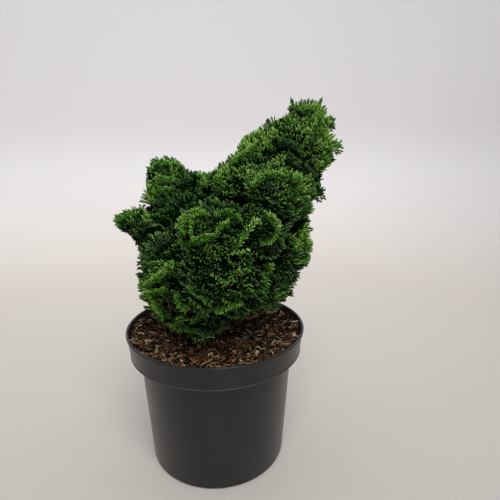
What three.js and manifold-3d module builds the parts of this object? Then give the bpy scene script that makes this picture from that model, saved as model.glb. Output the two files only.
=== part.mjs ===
// A dwarf hinoki cypress in a round nursery pot: the pot, its potting mix and bark mulch, a leaning
// trunk, tapering boughs, and dense masses of scale-leaved foliage. Millimetres, +Z up. The origin is
// the centre of the pot's flat underside. The leader leans towards +X, and the front of the tree is -Y.
import * as THREE from "three";
import { mergeVertices } from "three/addons/utils/BufferGeometryUtils.js";
import Module from "manifold-3d";

const wasm = await Module();
wasm.setup();

// ---------------------------------------------------------------- driving dimensions
const GAP = 0.3; // clearance between neighbouring solids
const MERGE_TOLERANCE = 1e-4; // points closer than this are one

// The pot is moulded: a tapering body under a wider collar that ends in a rolled lip.
const POT_HEIGHT = 205;
const LIP_RADIUS = 129;
const COLLAR_FOOT_RADIUS = 124;
const COLLAR_DEPTH = 34;
const BODY_TOP_RADIUS = 111.5;
const BODY_FOOT_RADIUS = 101.5;
const POT_WALL = 1.8;
const POT_FLOOR = 2.5;
const LIP_THICKNESS = 3.2;
const LIP_PROUD = 0.8;
const FOOT_BEVEL = 2.5;
const DRAIN_HOLES = 8;
const DRAIN_HOLE_RADIUS = 5;
const DRAIN_HOLE_SIDES = 8;
const DRAIN_CIRCLE_RADIUS = 82;
const POT_SIDES = 36;

// The ground is the top of the mulch.
const GROUND = 195;
const MULCH_DEPTH = 8;
const MULCH_SIDES = 30;
const MULCH_RINGS = 4;
const MULCH_BUMP = 1.6; // how far the bed dips between its bumps
const LEVEL_RINGS = 1; // the bed stays level out to this ring, where the trunk stands
const CHIPS = 20;
const CHIP_RISE = 3.5; // how far the highest chip stands above the ground
const CHIP_MIN_LENGTH = 16;
const CHIP_MIN_WIDTH = 4;
const CHIP_THICKNESS = 2.4;
const CHIP_TILT = 0.22; // radians from the steepest chip to the one that leans the other way
const CHIP_DROP = 2; // room under CHIP_RISE for the raised end of a tilted chip
const CHIPS_FROM = 34; // the distance from the trunk's axis to the nearest chips
const CHIPS_RIM = 18; // the distance from the pot's wall to the furthest chips

// The trunk rises from the ground, leans to +X and tapers to the leader's tip.
const TRUNK_SIDES = 10;
const TRUNK_STEPS = 12;
const TRUNK_FOOT_RADIUS = 10.5;
const TRUNK_TIP_RADIUS = 2.6;
const TRUNK_TAPER = 0.8; // a power: below 1 the trunk thins faster near its foot
const ROOT_FLARE = 0.75; // how much wider the foot is than the trunk just above it
const ROOT_FLARE_HEIGHT = 14;
const ROOTS = 5;
const ROOT_RIDGE = 0.45; // how far the flare stands out over a root, as a share of the flare
// The trunk's axis is a cubic Bezier curve. Its control points are X, Y and the height above the ground.
const TRUNK_COURSE = [
  [0, 0, 0],
  [-4, 2, 90],
  [32, 6, 160],
  [108, -4, 262],
];

// Boughs and the stems inside the masses.
const BOUGH_SIDES = 6;
const STEM_SIDES = 5;
const LIMB_TIP_RADIUS = 1.5;
const LIMB_STEPS = 5;
const LIMB_SWELL = 0.026; // extra radius at the foot of a limb for each millimetre of its length
const LIMB_LIMIT = 0.7; // no limb's foot is wider than this share of the trunk there
const LIMB_SAG = 0.12; // how far a limb bows down, as a share of its level length
const LIMB_ENTRY = 0.8; // a bough ends at this share of its mass's reach
const ENTRY_STEP = 0.01;

// Foliage. Each mass fills a spheroid that points along its limb, cut by the planes half way to its
// neighbours. A core fills the inner part, and toothed sprays stand out of it to the full reach.
const CORE_SHARE = 0.8;
const CORE_LUMPS = 0.12; // how much the core's reach varies
const CORE_LIMIT = 0.98; // the core stays inside this share of its space
const SPRAY_SPACING = 29;
const SPRAY_ROOT_SHARE = 0.5;
const SPRAY_REACH = 0.99;
const SPRAY_RAGGED = 0.08; // the shortest spray ends this share of its reach inside the longest
const SPRAY_SWIRL = 0.5; // radians that a spray may turn from the even spiral
const SPRAY_THICKNESS = 5;
const SPRAY_CREST = 0.6; // the share of its length where a spray is thickest
const SPRAY_CUP = 0.02; // how far a spray's teeth curl out of its plane, for each square millimetre
const SPRAY_TEETH = 3;
const OUTER_TEETH_SHORTER = 0.12;
const SPRAY_TURNS = 5; // how many ways round a spray is tried before it is left out
const TOOTH_SPREAD = 0.66; // radians between teeth
const NOTCH_SHARE = 0.74;
const TIP_SPREAD = 0.22; // a leading shoot is a narrower spray
const BACKWARD = -0.35; // no spray points further back along its limb than this cosine
const LIMB_BEADS = 24; // test points along a limb
const LIMB_CLEARANCE = 1.2;
const HIDDEN_SHARE = 0.78; // a spray that a neighbour would cut shorter than this is left out

// Leading shoots that reach out past their masses, as X, Y and the height above the ground.
const CROWN_TIPS = [
  [101, -8, 320],
  [140, -8, 321],
  [157, -5, 296],
];
const RIGHT_TIPS = [
  [172, 0, 263],
  [165, 0, 244],
];
const LEFT_TIPS = [
  [-136, -10, 168],
  [-92, -12, 188],
];
const SHOULDER_TIPS = [[90, -50, 251]];
const OUTER_TIPS = [[151, 0, 200]];
const LOWER_TIPS = [
  [132, -19, 159],
  [136, -19, 131],
];
const CUP_TIPS = [[58, -104, 185]];

// Each mass: where its limb leaves the trunk (a share of the trunk's course), its centre (X, Y and the
// height above the ground), its half length along the limb, its half width, the tips of its leading
// shoots, and whether a bough of its own carries it. Where none does, its stem meets the trunk.
const MASSES = [
  { name: "crown_tip", leaves: 1, at: [118, -6, 276], long: 47, wide: 41, tips: CROWN_TIPS },
  { name: "right_upper", leaves: 0.85, at: [130, 6, 246], long: 37, wide: 32, tips: RIGHT_TIPS },
  { name: "ridge_upper", leaves: 0.86, at: [81, 11, 254], long: 44, wide: 40 },
  { name: "ridge_middle", leaves: 0.74, at: [54, 9, 236], long: 44, wide: 39 },
  { name: "ridge_lower", leaves: 0.62, at: [29, -9, 205], long: 40, wide: 39 },
  { name: "right_shoulder", leaves: 0.7, at: [80, -37, 202], long: 50, wide: 47, tips: SHOULDER_TIPS },
  { name: "right_outer", leaves: 0.78, at: [106, 2, 193], long: 44, wide: 40, tips: OUTER_TIPS },
  { name: "right_lower", leaves: 0.4, at: [95, -19, 126], long: 47, wide: 41, bough: true, tips: LOWER_TIPS },
  { name: "front_cup", leaves: 0.54, at: [59, -63, 158], long: 45, wide: 39, bough: true, tips: CUP_TIPS },
  { name: "front_upper", leaves: 0.42, at: [5, -66, 154], long: 55, wide: 52, bough: true },
  { name: "left_knob", leaves: 0.45, at: [-58, 0, 214], long: 43, wide: 36, bough: true },
  { name: "left_shoulder", leaves: 0.38, at: [-54, -28, 180], long: 46, wide: 39, bough: true },
  { name: "saddle", leaves: 0.53, at: [-14, 18, 187], long: 45, wide: 44 },
  { name: "left_arm", leaves: 0.33, at: [-96, -10, 156], long: 46, wide: 24, bough: true, tips: LEFT_TIPS },
  { name: "left_side", leaves: 0.22, at: [-68, -12, 117], long: 47, wide: 41, bough: true },
  { name: "left_low", leaves: 0.17, at: [-60, -29, 75], long: 48, wide: 45, bough: true },
  { name: "front_left", leaves: 0.3, at: [-38, -62, 128], long: 47, wide: 46, bough: true },
  { name: "front_middle", leaves: 0.26, at: [-6, -77, 101], long: 46, wide: 46, bough: true },
  { name: "front_right", leaves: 0.34, at: [34, -70, 115], long: 46, wide: 46, bough: true },
  { name: "front_low_right", leaves: 0.2, at: [34, -46, 80], long: 45, wide: 44, bough: true },
  { name: "front_low_left", leaves: 0.13, at: [-32, -55, 65], long: 46, wide: 44, bough: true },
  { name: "front_foot", leaves: 0.08, at: [-11, -32, 44], long: 40, wide: 40 },
  { name: "right_low", leaves: 0.27, at: [70, -14, 83], long: 49, wide: 48, bough: true },
  { name: "right_back", leaves: 0.44, at: [82, 32, 139], long: 55, wide: 51, bough: true },
  { name: "back_low_left", leaves: 0.15, at: [-37, 26, 66], long: 55, wide: 52 },
  { name: "back_low_right", leaves: 0.2, at: [31, 35, 67], long: 57, wide: 53 },
  { name: "back_left", leaves: 0.27, at: [-45, 40, 145], long: 56, wide: 53, bough: true },
  { name: "back_middle", leaves: 0.38, at: [8, 58, 134], long: 57, wide: 55, bough: true },
  { name: "back_right", leaves: 0.66, at: [68, 46, 198], long: 52, wide: 51 },
  { name: "back_upper", leaves: 0.56, at: [18, 44, 192], long: 50, wide: 49 },
];

// ---------------------------------------------------------------- materials
const paint = (colour, roughness) =>
  new THREE.MeshStandardMaterial({ color: colour, roughness, metalness: 0 });
const POT_PLASTIC = paint(0x393735, 0.5);
const POTTING_MIX = paint(0x2a1d14, 0.95);
const BARK_MULCH = paint(0x5a3f2b, 0.9);
const BARK = paint(0x6b4630, 0.85);
const FOLIAGE = paint(0x2f5a1c, 0.6);

// ---------------------------------------------------------------- solids and meshes
const solidOf = (geometry) => {
  const bare = new THREE.BufferGeometry();
  bare.setAttribute("position", geometry.getAttribute("position"));
  bare.setIndex(geometry.getIndex());
  const merged = mergeVertices(bare, MERGE_TOLERANCE);
  return new wasm.Manifold(
    new wasm.Mesh({
      numProp: 3,
      vertProperties: Float32Array.from(merged.getAttribute("position").array),
      triVerts: Uint32Array.from(merged.getIndex().array),
    }),
  );
};

const geometryOf = (solid) => {
  const mesh = solid.getMesh();
  return new THREE.BufferGeometry()
    .setAttribute("position", new THREE.BufferAttribute(mesh.vertProperties, 3))
    .setIndex(new THREE.BufferAttribute(mesh.triVerts, 1));
};

const largestBody = (solid) =>
  solid.decompose().reduce((best, body) => (body.volume() > best.volume() ? body : best));

const named = (name, geometry, material) => {
  const mesh = new THREE.Mesh(geometry, material);
  mesh.name = name;
  return mesh;
};

// A lathe about +Z from [radius, height] pairs.
const lathe = (profile, sides) =>
  new THREE.LatheGeometry(
    profile.map(([radius, height]) => new THREE.Vector2(radius, height)),
    sides,
  ).rotateX(Math.PI / 2);

// A closed mesh from flat lists of points and triangles.
const shell = (points, triangles) =>
  new THREE.BufferGeometry()
    .setAttribute("position", new THREE.Float32BufferAttribute(points.flatMap((p) => p.toArray()), 3))
    .setIndex(triangles.flat());

// The seeded rule that every twig and spray follows: a number from 0 to 1 for a seed, a place and a use.
const chance = (seed, place, use) => {
  const s = Math.sin(seed * 127.1 + place * 311.7 + use * 74.7) * 43758.5453;
  return s - Math.floor(s);
};
const GOLDEN_ANGLE = Math.PI * (3 - Math.sqrt(5));

// ---------------------------------------------------------------- pot, potting mix and mulch
const COLLAR_FOOT = POT_HEIGHT - COLLAR_DEPTH;
const SHOULDER = COLLAR_FOOT + POT_WALL; // the ledge inside the pot
const bodyRadius = (z) => THREE.MathUtils.lerp(BODY_FOOT_RADIUS, BODY_TOP_RADIUS, z / COLLAR_FOOT);
const collarRadius = (z) =>
  THREE.MathUtils.lerp(COLLAR_FOOT_RADIUS, LIP_RADIUS, (z - COLLAR_FOOT) / COLLAR_DEPTH);

const insideRadius = (z) =>
  z < SHOULDER
    ? bodyRadius(z) - POT_WALL
    : THREE.MathUtils.mapLinear(
        z,
        SHOULDER,
        POT_HEIGHT,
        collarRadius(SHOULDER) - POT_WALL,
        LIP_RADIUS - LIP_THICKNESS,
      );

function pot() {
  const lipFoot = POT_HEIGHT - LIP_THICKNESS;
  const outside = [
    [0, 0],
    [BODY_FOOT_RADIUS - FOOT_BEVEL, 0],
    [BODY_FOOT_RADIUS, FOOT_BEVEL],
    [BODY_TOP_RADIUS, COLLAR_FOOT],
    [COLLAR_FOOT_RADIUS, COLLAR_FOOT],
    [collarRadius(lipFoot) - LIP_PROUD, lipFoot],
    [LIP_RADIUS, lipFoot],
    [LIP_RADIUS, POT_HEIGHT],
  ];
  const inside = [
    [insideRadius(POT_HEIGHT), POT_HEIGHT],
    [insideRadius(SHOULDER), SHOULDER],
    [bodyRadius(SHOULDER) - POT_WALL, SHOULDER],
    [insideRadius(POT_FLOOR), POT_FLOOR],
    [0, POT_FLOOR],
  ];
  let body = solidOf(lathe([...outside, ...inside], POT_SIDES));
  for (let i = 0; i < DRAIN_HOLES; i += 1) {
    const angle = ((i + 0.5) / DRAIN_HOLES) * 2 * Math.PI;
    const [x, y] = [DRAIN_CIRCLE_RADIUS * Math.cos(angle), DRAIN_CIRCLE_RADIUS * Math.sin(angle)];
    const drill = new THREE.CylinderGeometry(
      DRAIN_HOLE_RADIUS,
      DRAIN_HOLE_RADIUS,
      4 * POT_FLOOR,
      DRAIN_HOLE_SIDES,
    );
    body = body.subtract(solidOf(drill.rotateX(Math.PI / 2).translate(x, y, 0)));
  }
  return named("pot", geometryOf(body), POT_PLASTIC);
}

// The mix and the mulch fill the pot out to this radius.
const fillRadius = (z) => insideRadius(z) - 2 * GAP;

function pottingMix() {
  const floor = POT_FLOOR + GAP;
  const ledge = SHOULDER + GAP;
  const top = GROUND - MULCH_DEPTH - GAP;
  const profile = [
    [0, floor],
    [fillRadius(floor), floor],
    [bodyRadius(SHOULDER) - POT_WALL - 2 * GAP, ledge],
    [fillRadius(ledge), ledge],
    [fillRadius(top), top],
    [0, top],
  ];
  return named("potting_mix", lathe(profile, POT_SIDES), POTTING_MIX);
}

// The mulch is a disc with an uneven top. Each ring of points is turned half a step from the last.
function mulchBed() {
  const foot = GROUND - MULCH_DEPTH;
  const points = [new THREE.Vector3(0, 0, GROUND)];
  const rim = fillRadius(foot) - GAP;
  for (let ring = 1; ring <= MULCH_RINGS; ring += 1)
    for (let side = 0; side < MULCH_SIDES; side += 1) {
      const angle = ((side + 0.5 * (ring % 2)) / MULCH_SIDES) * 2 * Math.PI;
      const radius = (rim * (ring + 0.5)) / (MULCH_RINGS + 0.5);
      const bump = ring > LEVEL_RINGS ? MULCH_BUMP * (chance(ring, side, 1) - 1) : 0;
      points.push(new THREE.Vector3(radius * Math.cos(angle), radius * Math.sin(angle), GROUND + bump));
    }
  const top = (ring, side) => 1 + (ring - 1) * MULCH_SIDES + (side % MULCH_SIDES);
  const footStart = points.length;
  for (let side = 0; side < MULCH_SIDES; side += 1)
    points.push(points[top(MULCH_RINGS, side)].clone().setZ(foot));
  points.push(new THREE.Vector3(0, 0, foot));
  const triangles = [];
  for (let side = 0; side < MULCH_SIDES; side += 1) {
    triangles.push([0, top(1, side), top(1, side + 1)]);
    for (let ring = 1; ring < MULCH_RINGS; ring += 1) {
      const [a, b] = [top(ring, side), top(ring, side + 1)];
      const [c, d] = [top(ring + 1, side), top(ring + 1, side + 1)];
      if (ring % 2) triangles.push([a, c, b], [c, d, b]);
      else triangles.push([a, c, d], [a, d, b]);
    }
    const [a, b] = [top(MULCH_RINGS, side), top(MULCH_RINGS, side + 1)];
    const [c, d] = [footStart + side, footStart + ((side + 1) % MULCH_SIDES)];
    triangles.push([a, c, b], [c, d, b], [c, points.length - 1, d]);
  }
  return shell(points, triangles);
}

// One chip, lying on the bed with its foot sunk in it.
function barkChip(i) {
  const length = CHIP_MIN_LENGTH * (1 + chance(i, 0, 2));
  const width = CHIP_MIN_WIDTH * (1 + chance(i, 0, 4));
  const angle = GOLDEN_ANGLE * i;
  const spread = fillRadius(GROUND) - CHIPS_RIM - CHIPS_FROM;
  const radius = CHIPS_FROM + spread * Math.sqrt((i + 0.5) / CHIPS);
  return new THREE.BoxGeometry(length, width, CHIP_THICKNESS)
    .rotateY(CHIP_TILT * (chance(i, 0, 5) - 0.5))
    .rotateZ(2 * Math.PI * chance(i, 0, 3))
    .translate(
      radius * Math.cos(angle),
      radius * Math.sin(angle),
      GROUND + CHIP_RISE - CHIP_DROP - CHIP_THICKNESS,
    );
}

function mulch() {
  const chips = Array.from({ length: CHIPS }, (_, i) => solidOf(barkChip(i)));
  const bed = wasm.Manifold.union([solidOf(mulchBed()), ...chips]);
  return named("bark_mulch", geometryOf(bed), BARK_MULCH);
}

// ---------------------------------------------------------------- limbs
const upright = ([x, y, height]) => new THREE.Vector3(x, y, GROUND + GAP + height);
const TRUNK_LINE = new THREE.CubicBezierCurve3(...TRUNK_COURSE.map(upright));
const trunkRadius = (share) =>
  THREE.MathUtils.lerp(TRUNK_FOOT_RADIUS, TRUNK_TIP_RADIUS, Math.pow(share, TRUNK_TAPER));

// A closed tube through `line` from share `from` to share `to`. radiusAt gives its radius at a share of
// the whole line, and lobes(share, angle) swells it.
function tube(line, from, to, radiusAt, sides, steps, lobes = () => 1) {
  const points = [];
  const triangles = [];
  const side = new THREE.Vector3(0.3, 1, 0.2);
  for (let step = 0; step <= steps; step += 1) {
    const share = from + ((to - from) * step) / steps;
    const centre = line.getPoint(share);
    const along = line.getTangent(share);
    side.addScaledVector(along, -side.dot(along)).normalize();
    const other = along.clone().cross(side);
    for (let k = 0; k < sides; k += 1) {
      const angle = (k / sides) * 2 * Math.PI;
      const radius = radiusAt(share) * lobes(share, angle);
      points.push(
        centre
          .clone()
          .addScaledVector(side, radius * Math.cos(angle))
          .addScaledVector(other, radius * Math.sin(angle)),
      );
      const [a, b] = [step * sides + k, step * sides + ((k + 1) % sides)];
      if (step < steps) triangles.push([a, b, b + sides], [a, b + sides, a + sides]);
    }
  }
  const last = steps * sides;
  for (let k = 1; k < sides - 1; k += 1)
    triangles.push([0, k + 1, k], [last, last + k, last + k + 1]);
  return shell(points, triangles);
}

const trunkLobes = (share, angle) => {
  const height = share * TRUNK_LINE.getLength();
  const flare = ROOT_FLARE * Math.exp(-height / ROOT_FLARE_HEIGHT);
  return 1 + flare * (1 + ROOT_RIDGE * Math.cos(ROOTS * angle));
};

// Its end rings are square to the axis, so the foot's ring is laid level: the flat cut at the ground.
function trunkSolid(swell) {
  const radius = (share) => trunkRadius(share) + swell;
  const geometry = tube(TRUNK_LINE, 0, 1, radius, TRUNK_SIDES, TRUNK_STEPS, trunkLobes);
  const place = geometry.getAttribute("position");
  for (let k = 0; k < TRUNK_SIDES; k += 1) place.setZ(k, GROUND + GAP);
  return solidOf(geometry);
}

// A limb leaves the trunk's axis, first outwards and then up to its mass's centre.
function limbOf(mass) {
  const start = TRUNK_LINE.getPoint(mass.leaves);
  const centre = upright(mass.at);
  const across = centre.clone().sub(start);
  const length = across.length();
  const bend = start.clone().addScaledVector(across, 0.5);
  bend.z -= LIMB_SAG * Math.hypot(across.x, across.y);
  const line = new THREE.QuadraticBezierCurve3(start, bend, centre);
  const limit = LIMB_LIMIT * trunkRadius(mass.leaves);
  const footRadius = Math.min(LIMB_TIP_RADIUS + LIMB_SWELL * length, limit);
  return { line, radiusAt: (share) => THREE.MathUtils.lerp(footRadius, LIMB_TIP_RADIUS, share) };
}

// ---------------------------------------------------------------- foliage masses
// The space of each mass: a spheroid along its limb, the planes towards its neighbours, and the ground.
const SPACES = MASSES.map((mass, index) => {
  const limb = limbOf(mass);
  return {
    ...mass,
    index,
    limb,
    centre: limb.line.getPoint(1),
    axis:
      mass.leaves < 1
        ? limb.line.getPoint(1).sub(limb.line.getPoint(0)).normalize()
        : TRUNK_LINE.getTangent(1),
  };
});

function spheroidReach(space, way) {
  const along = way.dot(space.axis);
  const across2 = Math.max(0, 1 - along * along);
  return 1 / Math.sqrt((along * along) / space.long ** 2 + across2 / space.wide ** 2);
}

for (const space of SPACES) {
  space.walls = SPACES.filter((other) => other !== space).map((other) => {
    const normal = other.centre.clone().sub(space.centre);
    const distance = normal.length();
    normal.divideScalar(distance);
    const mine = spheroidReach(space, normal);
    const theirs = spheroidReach(other, normal.clone().negate());
    return { normal, offset: (distance * mine) / (mine + theirs) - GAP / 2 };
  });
  space.walls.push({
    normal: new THREE.Vector3(0, 0, -1),
    offset: space.centre.z - GROUND - CHIP_RISE - 2 * GAP,
  });
}

const reach = (space, way) =>
  space.walls.reduce((least, { normal, offset }) => {
    const slope = normal.dot(way);
    return slope > 1e-6 ? Math.min(least, offset / slope) : least;
  }, spheroidReach(space, way));

const inside = (space, point) => {
  const from = point.clone().sub(space.centre);
  return space.walls.every(({ normal, offset }) => normal.dot(from) < offset);
};

// Where a limb enters its mass, as a share of the limb.
function entryOf(space) {
  for (let share = 0; share < 1; share += ENTRY_STEP) {
    const from = space.limb.line.getPoint(share).sub(space.centre);
    const distance = from.length();
    if (distance < LIMB_ENTRY * reach(space, from.divideScalar(distance))) return share;
  }
  return 1;
}

// A toothed, cupped blade that stands for a fan of scale-leaved shoots. `root` is its sunk end, `way`
// and `across` are unit vectors in its plane, and `spread` is the angle between its teeth. A low crest
// on either side gives it its thickness.
function sprayPoints(root, way, across, length, spread) {
  const out = way.clone().cross(across);
  const place = (along, aside, rise = 0) =>
    root
      .clone()
      .addScaledVector(way, along)
      .addScaledVector(across, aside)
      .addScaledVector(out, rise + SPRAY_CUP * aside * aside);
  const polar = (radius, angle) => place(radius * Math.cos(angle), radius * Math.sin(angle));
  const middle = (SPRAY_TEETH - 1) / 2;
  const outline = [root];
  for (let tooth = 0; tooth < SPRAY_TEETH; tooth += 1) {
    const angle = (tooth - middle) * spread;
    if (tooth > 0) outline.push(polar(NOTCH_SHARE * length, angle - spread / 2));
    outline.push(polar(length * (1 - OUTER_TEETH_SHORTER * Math.abs(tooth - middle)), angle));
  }
  const crests = [1, -1].map((side) => place(SPRAY_CREST * length, 0, (side * SPRAY_THICKNESS) / 2));
  return { outline, crests };
}

function spraySolid({ outline, crests }) {
  const count = outline.length;
  const triangles = [];
  for (let i = 0; i < count; i += 1) {
    const next = (i + 1) % count;
    triangles.push([i, next, count], [next, i, count + 1]);
  }
  return solidOf(shell([...outline, ...crests], triangles));
}

// Beads along every limb, which a spray keeps clear of unless the limb is its own.
const beads = [{ owner: null, line: TRUNK_LINE, radiusAt: trunkRadius }]
  .concat(SPACES.map((space) => ({ owner: space, ...space.limb })))
  .flatMap(({ owner, line, radiusAt }) =>
    Array.from({ length: LIMB_BEADS + 1 }, (_, i) => ({
      owner,
      point: line.getPoint(i / LIMB_BEADS),
      radius: radiusAt(i / LIMB_BEADS) + LIMB_CLEARANCE,
    })),
  );
const fits = (space, { outline, crests }) =>
  [...outline, ...crests].every(
    (place) =>
      inside(space, place) &&
      beads.every(({ owner, point, radius }) => owner === space || point.distanceTo(place) > radius),
  );

// One spray from the core to `tip`. It is turned until it keeps to its space and clear of the limbs.
function sprayTo(space, tip, seed, spread) {
  const way = tip.clone().sub(space.centre);
  const distance = way.length();
  way.divideScalar(distance);
  const rootDistance = SPRAY_ROOT_SHARE * spheroidReach(space, way);
  const root = space.centre.clone().addScaledVector(way, rootDistance);
  const side = space.axis.clone().cross(way).normalize();
  const up = way.clone().cross(side);
  for (let turn = 0; turn < SPRAY_TURNS; turn += 1) {
    const angle = Math.PI * (0.5 * (chance(space.index, seed, 8) - 0.5) + turn / SPRAY_TURNS);
    const across = side.clone().multiplyScalar(Math.cos(angle)).addScaledVector(up, Math.sin(angle));
    const points = sprayPoints(root, way, across, distance - rootDistance, spread);
    if (fits(space, points)) return [spraySolid(points)];
  }
  return [];
}

// Sprays point along a golden spiral of directions, apart from those that a neighbour hides.
function sprays(space) {
  const count = Math.round((4 * Math.PI * space.long * space.wide) / SPRAY_SPACING ** 2);
  const made = (space.tips ?? []).flatMap((tip, k) => sprayTo(space, upright(tip), -1 - k, TIP_SPREAD));
  for (let k = 0; k < count; k += 1) {
    const height = 1 - (2 * (k + 0.5)) / count;
    const angle = GOLDEN_ANGLE * k + SPRAY_SWIRL * chance(space.index, k, 6);
    const level = Math.sqrt(1 - height * height);
    const way = new THREE.Vector3(level * Math.cos(angle), level * Math.sin(angle), height);
    const room = reach(space, way);
    const hidden = room < HIDDEN_SHARE * spheroidReach(space, way);
    if (hidden || way.dot(space.axis) < BACKWARD) continue;
    const length = room * (SPRAY_REACH - SPRAY_RAGGED * chance(space.index, k, 7));
    const tip = space.centre.clone().addScaledVector(way, length);
    made.push(...sprayTo(space, tip, k, TOOTH_SPREAD));
  }
  return made;
}

// The core is a lumpy ball inside the spheroid, pressed flat against the planes of its space.
function core(space) {
  const ball = new THREE.BufferGeometry();
  const turned = new THREE.IcosahedronGeometry(1).rotateX(space.index).rotateZ(2 * space.index);
  ball.setAttribute("position", turned.getAttribute("position"));
  const merged = mergeVertices(ball, MERGE_TOLERANCE);
  const place = merged.getAttribute("position");
  for (let i = 0; i < place.count; i += 1) {
    const way = new THREE.Vector3().fromBufferAttribute(place, i).normalize();
    const lump = CORE_SHARE * (1 + CORE_LUMPS * (chance(space.index, i, 9) - 0.5));
    const radius = Math.min(lump * spheroidReach(space, way), CORE_LIMIT * reach(space, way));
    const point = space.centre.clone().addScaledVector(way, radius);
    place.setXYZ(i, point.x, point.y, point.z);
  }
  return solidOf(merged);
}

// ---------------------------------------------------------------- the tree
const boughs = [];
const foliage = [];
const grownTrunk = trunkSolid(GAP);
const limbSteps = (share) => Math.max(2, Math.round(LIMB_STEPS * share));

for (const space of SPACES) {
  const { line, radiusAt } = space.limb;
  const entry = space.bough ? entryOf(space) : 0;
  const gapShare = GAP / line.getLength();
  const solid = (from, to, swell, sides) =>
    solidOf(tube(line, from, to, (share) => radiusAt(share) + swell, sides, limbSteps(to - from)));
  space.stem = solid(entry + gapShare, 1, 0, STEM_SIDES).subtract(grownTrunk);
  space.stemRoom = solid(entry, 1, 2 * GAP, STEM_SIDES);
  if (space.bough) {
    const limb = solid(0, entry, 0, BOUGH_SIDES).subtract(grownTrunk);
    space.boughRoom = solid(0, entry, 2 * GAP, BOUGH_SIDES);
    boughs.push({ name: `bough_${space.name}`, solid: largestBody(limb) });
  }
}

for (const space of SPACES) {
  const whole = wasm.Manifold.union([core(space), ...sprays(space)]);
  const rooms = SPACES.flatMap((other) =>
    other === space ? [space.boughRoom] : [other.stemRoom, other.boughRoom],
  ).filter(Boolean);
  const cut = whole.subtract(wasm.Manifold.union([grownTrunk, ...rooms]));
  foliage.push({ name: `foliage_${space.name}`, solid: largestBody(cut.add(space.stem)) });
}

const tree = new THREE.Group();
tree.add(pot(), pottingMix(), mulch());
tree.add(named("trunk", geometryOf(trunkSolid(0)), BARK));
for (const { name, solid } of boughs) tree.add(named(name, geometryOf(solid), BARK));
for (const { name, solid } of foliage) tree.add(named(name, geometryOf(solid), FOLIAGE));

export default tree;
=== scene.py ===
"""A dwarf hinoki cypress in its nursery pot. The tree's rule works in millimetres, as its source does."""

import math

import bmesh
import bpy
import numpy as np
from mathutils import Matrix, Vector


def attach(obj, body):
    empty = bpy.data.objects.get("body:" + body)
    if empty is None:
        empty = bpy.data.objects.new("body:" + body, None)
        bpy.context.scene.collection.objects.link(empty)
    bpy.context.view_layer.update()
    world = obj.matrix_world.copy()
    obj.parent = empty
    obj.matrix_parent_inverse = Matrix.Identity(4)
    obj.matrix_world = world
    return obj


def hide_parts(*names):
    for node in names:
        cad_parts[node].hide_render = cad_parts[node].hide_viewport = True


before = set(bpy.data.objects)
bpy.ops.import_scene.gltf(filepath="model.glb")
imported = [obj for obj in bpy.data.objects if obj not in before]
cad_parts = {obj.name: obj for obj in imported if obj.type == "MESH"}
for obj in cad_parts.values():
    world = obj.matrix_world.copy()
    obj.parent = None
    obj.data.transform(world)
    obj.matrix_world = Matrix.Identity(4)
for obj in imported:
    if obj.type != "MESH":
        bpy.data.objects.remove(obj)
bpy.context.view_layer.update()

MM = 0.001
GAP = 0.3  # clearance between neighbouring solids

# The pot, as its solid has it.
POT_HEIGHT = 205.0
LIP_RADIUS = 129.0
COLLAR_FOOT_RADIUS = 124.0
COLLAR_DEPTH = 34.0
BODY_TOP_RADIUS = 111.5
BODY_FOOT_RADIUS = 101.5
POT_WALL = 1.8
POT_FLOOR = 2.5
LIP_THICKNESS = 3.2
LIP_PROUD = 0.8
FOOT_BEVEL = 2.5
DRAIN_HOLES = 8
DRAIN_HOLE_RADIUS = 5.0
DRAIN_CIRCLE_RADIUS = 82.0
POT_SEGMENTS = 160
# The bead on the collar's foot: how far it stands out, its height over the foot, and its corners' radii.
BEAD = [(1.3, 1.0, 0.6), (0.3, 2.6, 0.5)]
HIGHLIGHT_BAND = (0.9, 2.1)  # the heights over the collar's foot between which the bead is painted lighter, a painted highlight

# The mulch.
GROUND = 195.0
MULCH_DEPTH = 8.0
CHIP_RISE = 3.5  # how far the chips of the solid rise
MULCH_HEAP = 3.8  # how far the mulch is heaped up against the pot
HEAP_START, HEAP_WIDTH = 80, 38
LEVEL_RADIUS = 20  # how far from the trunk the mulch is level
HUMPS = 0.8
BED_RINGS, BED_SIDES = 26, 120
BED_SINK = 0.8  # how far the bed lies under the chips' feet
BED_LUMPS = 1.5
CHIPS = 5200
CHIP_LENGTHS = (5, 14)
LONG_CHIPS, LONG_CHIP = 0.12, 1.5  # their share, and how much longer they are
CHIP_WIDTHS = [(0.7, 1.9), (1.9, 4.2)]  # of slivers and of broad chips
SLIVERS = 0.85
CHIP_THICKNESSES = (0.5, 1.5)
CHIP_PITCH, CHIP_ROLL = 0.32, 0.6  # how far, in radians, a chip may lean either way
CHIP_TAPER, CHIP_ENDS = (0.45, 1.0), (0.85, 1.0)
CHIP_PLACES = (0.02, 0.97)  # from the middle to the rim, as shares of the bed's area
CHIP_SINK, CHIP_LIFTS = 0.6, (-0.6, 1.9)

# The trunk and the limbs.
TRUNK_FOOT_RADIUS = 10.5
TRUNK_TIP_RADIUS = 2.6
TRUNK_TAPER = 0.8
ROOT_FLARE = 0.75
ROOT_FLARE_HEIGHT = 14.0
ROOTS = 5
ROOT_RIDGE = 0.45
TRUNK_COURSE = [(0, 0, 0), (-4, 2, 90), (32, 6, 160), (108, -4, 262)]
LIMB_TIP_RADIUS = 1.5
LIMB_SWELL = 0.026  # how much a limb's foot swells for its length
LIMB_LIMIT = 0.7  # a limb's foot as a share of the trunk there
LIMB_SAG = 0.12
LIMB_ENTRY = 0.8
ENTRY_STEP = 0.01
TRUNK_MESH = (44, 150)  # sides and steps
TRUNK_RELIEF = (11, 0.07)  # the bark's ridges and their depth
BOUGH_MESH = (18, 30)
BOUGH_RELIEF = (7, 0.08)
FLAT = 1e-6  # a slope or a radius that counts as nothing

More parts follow.
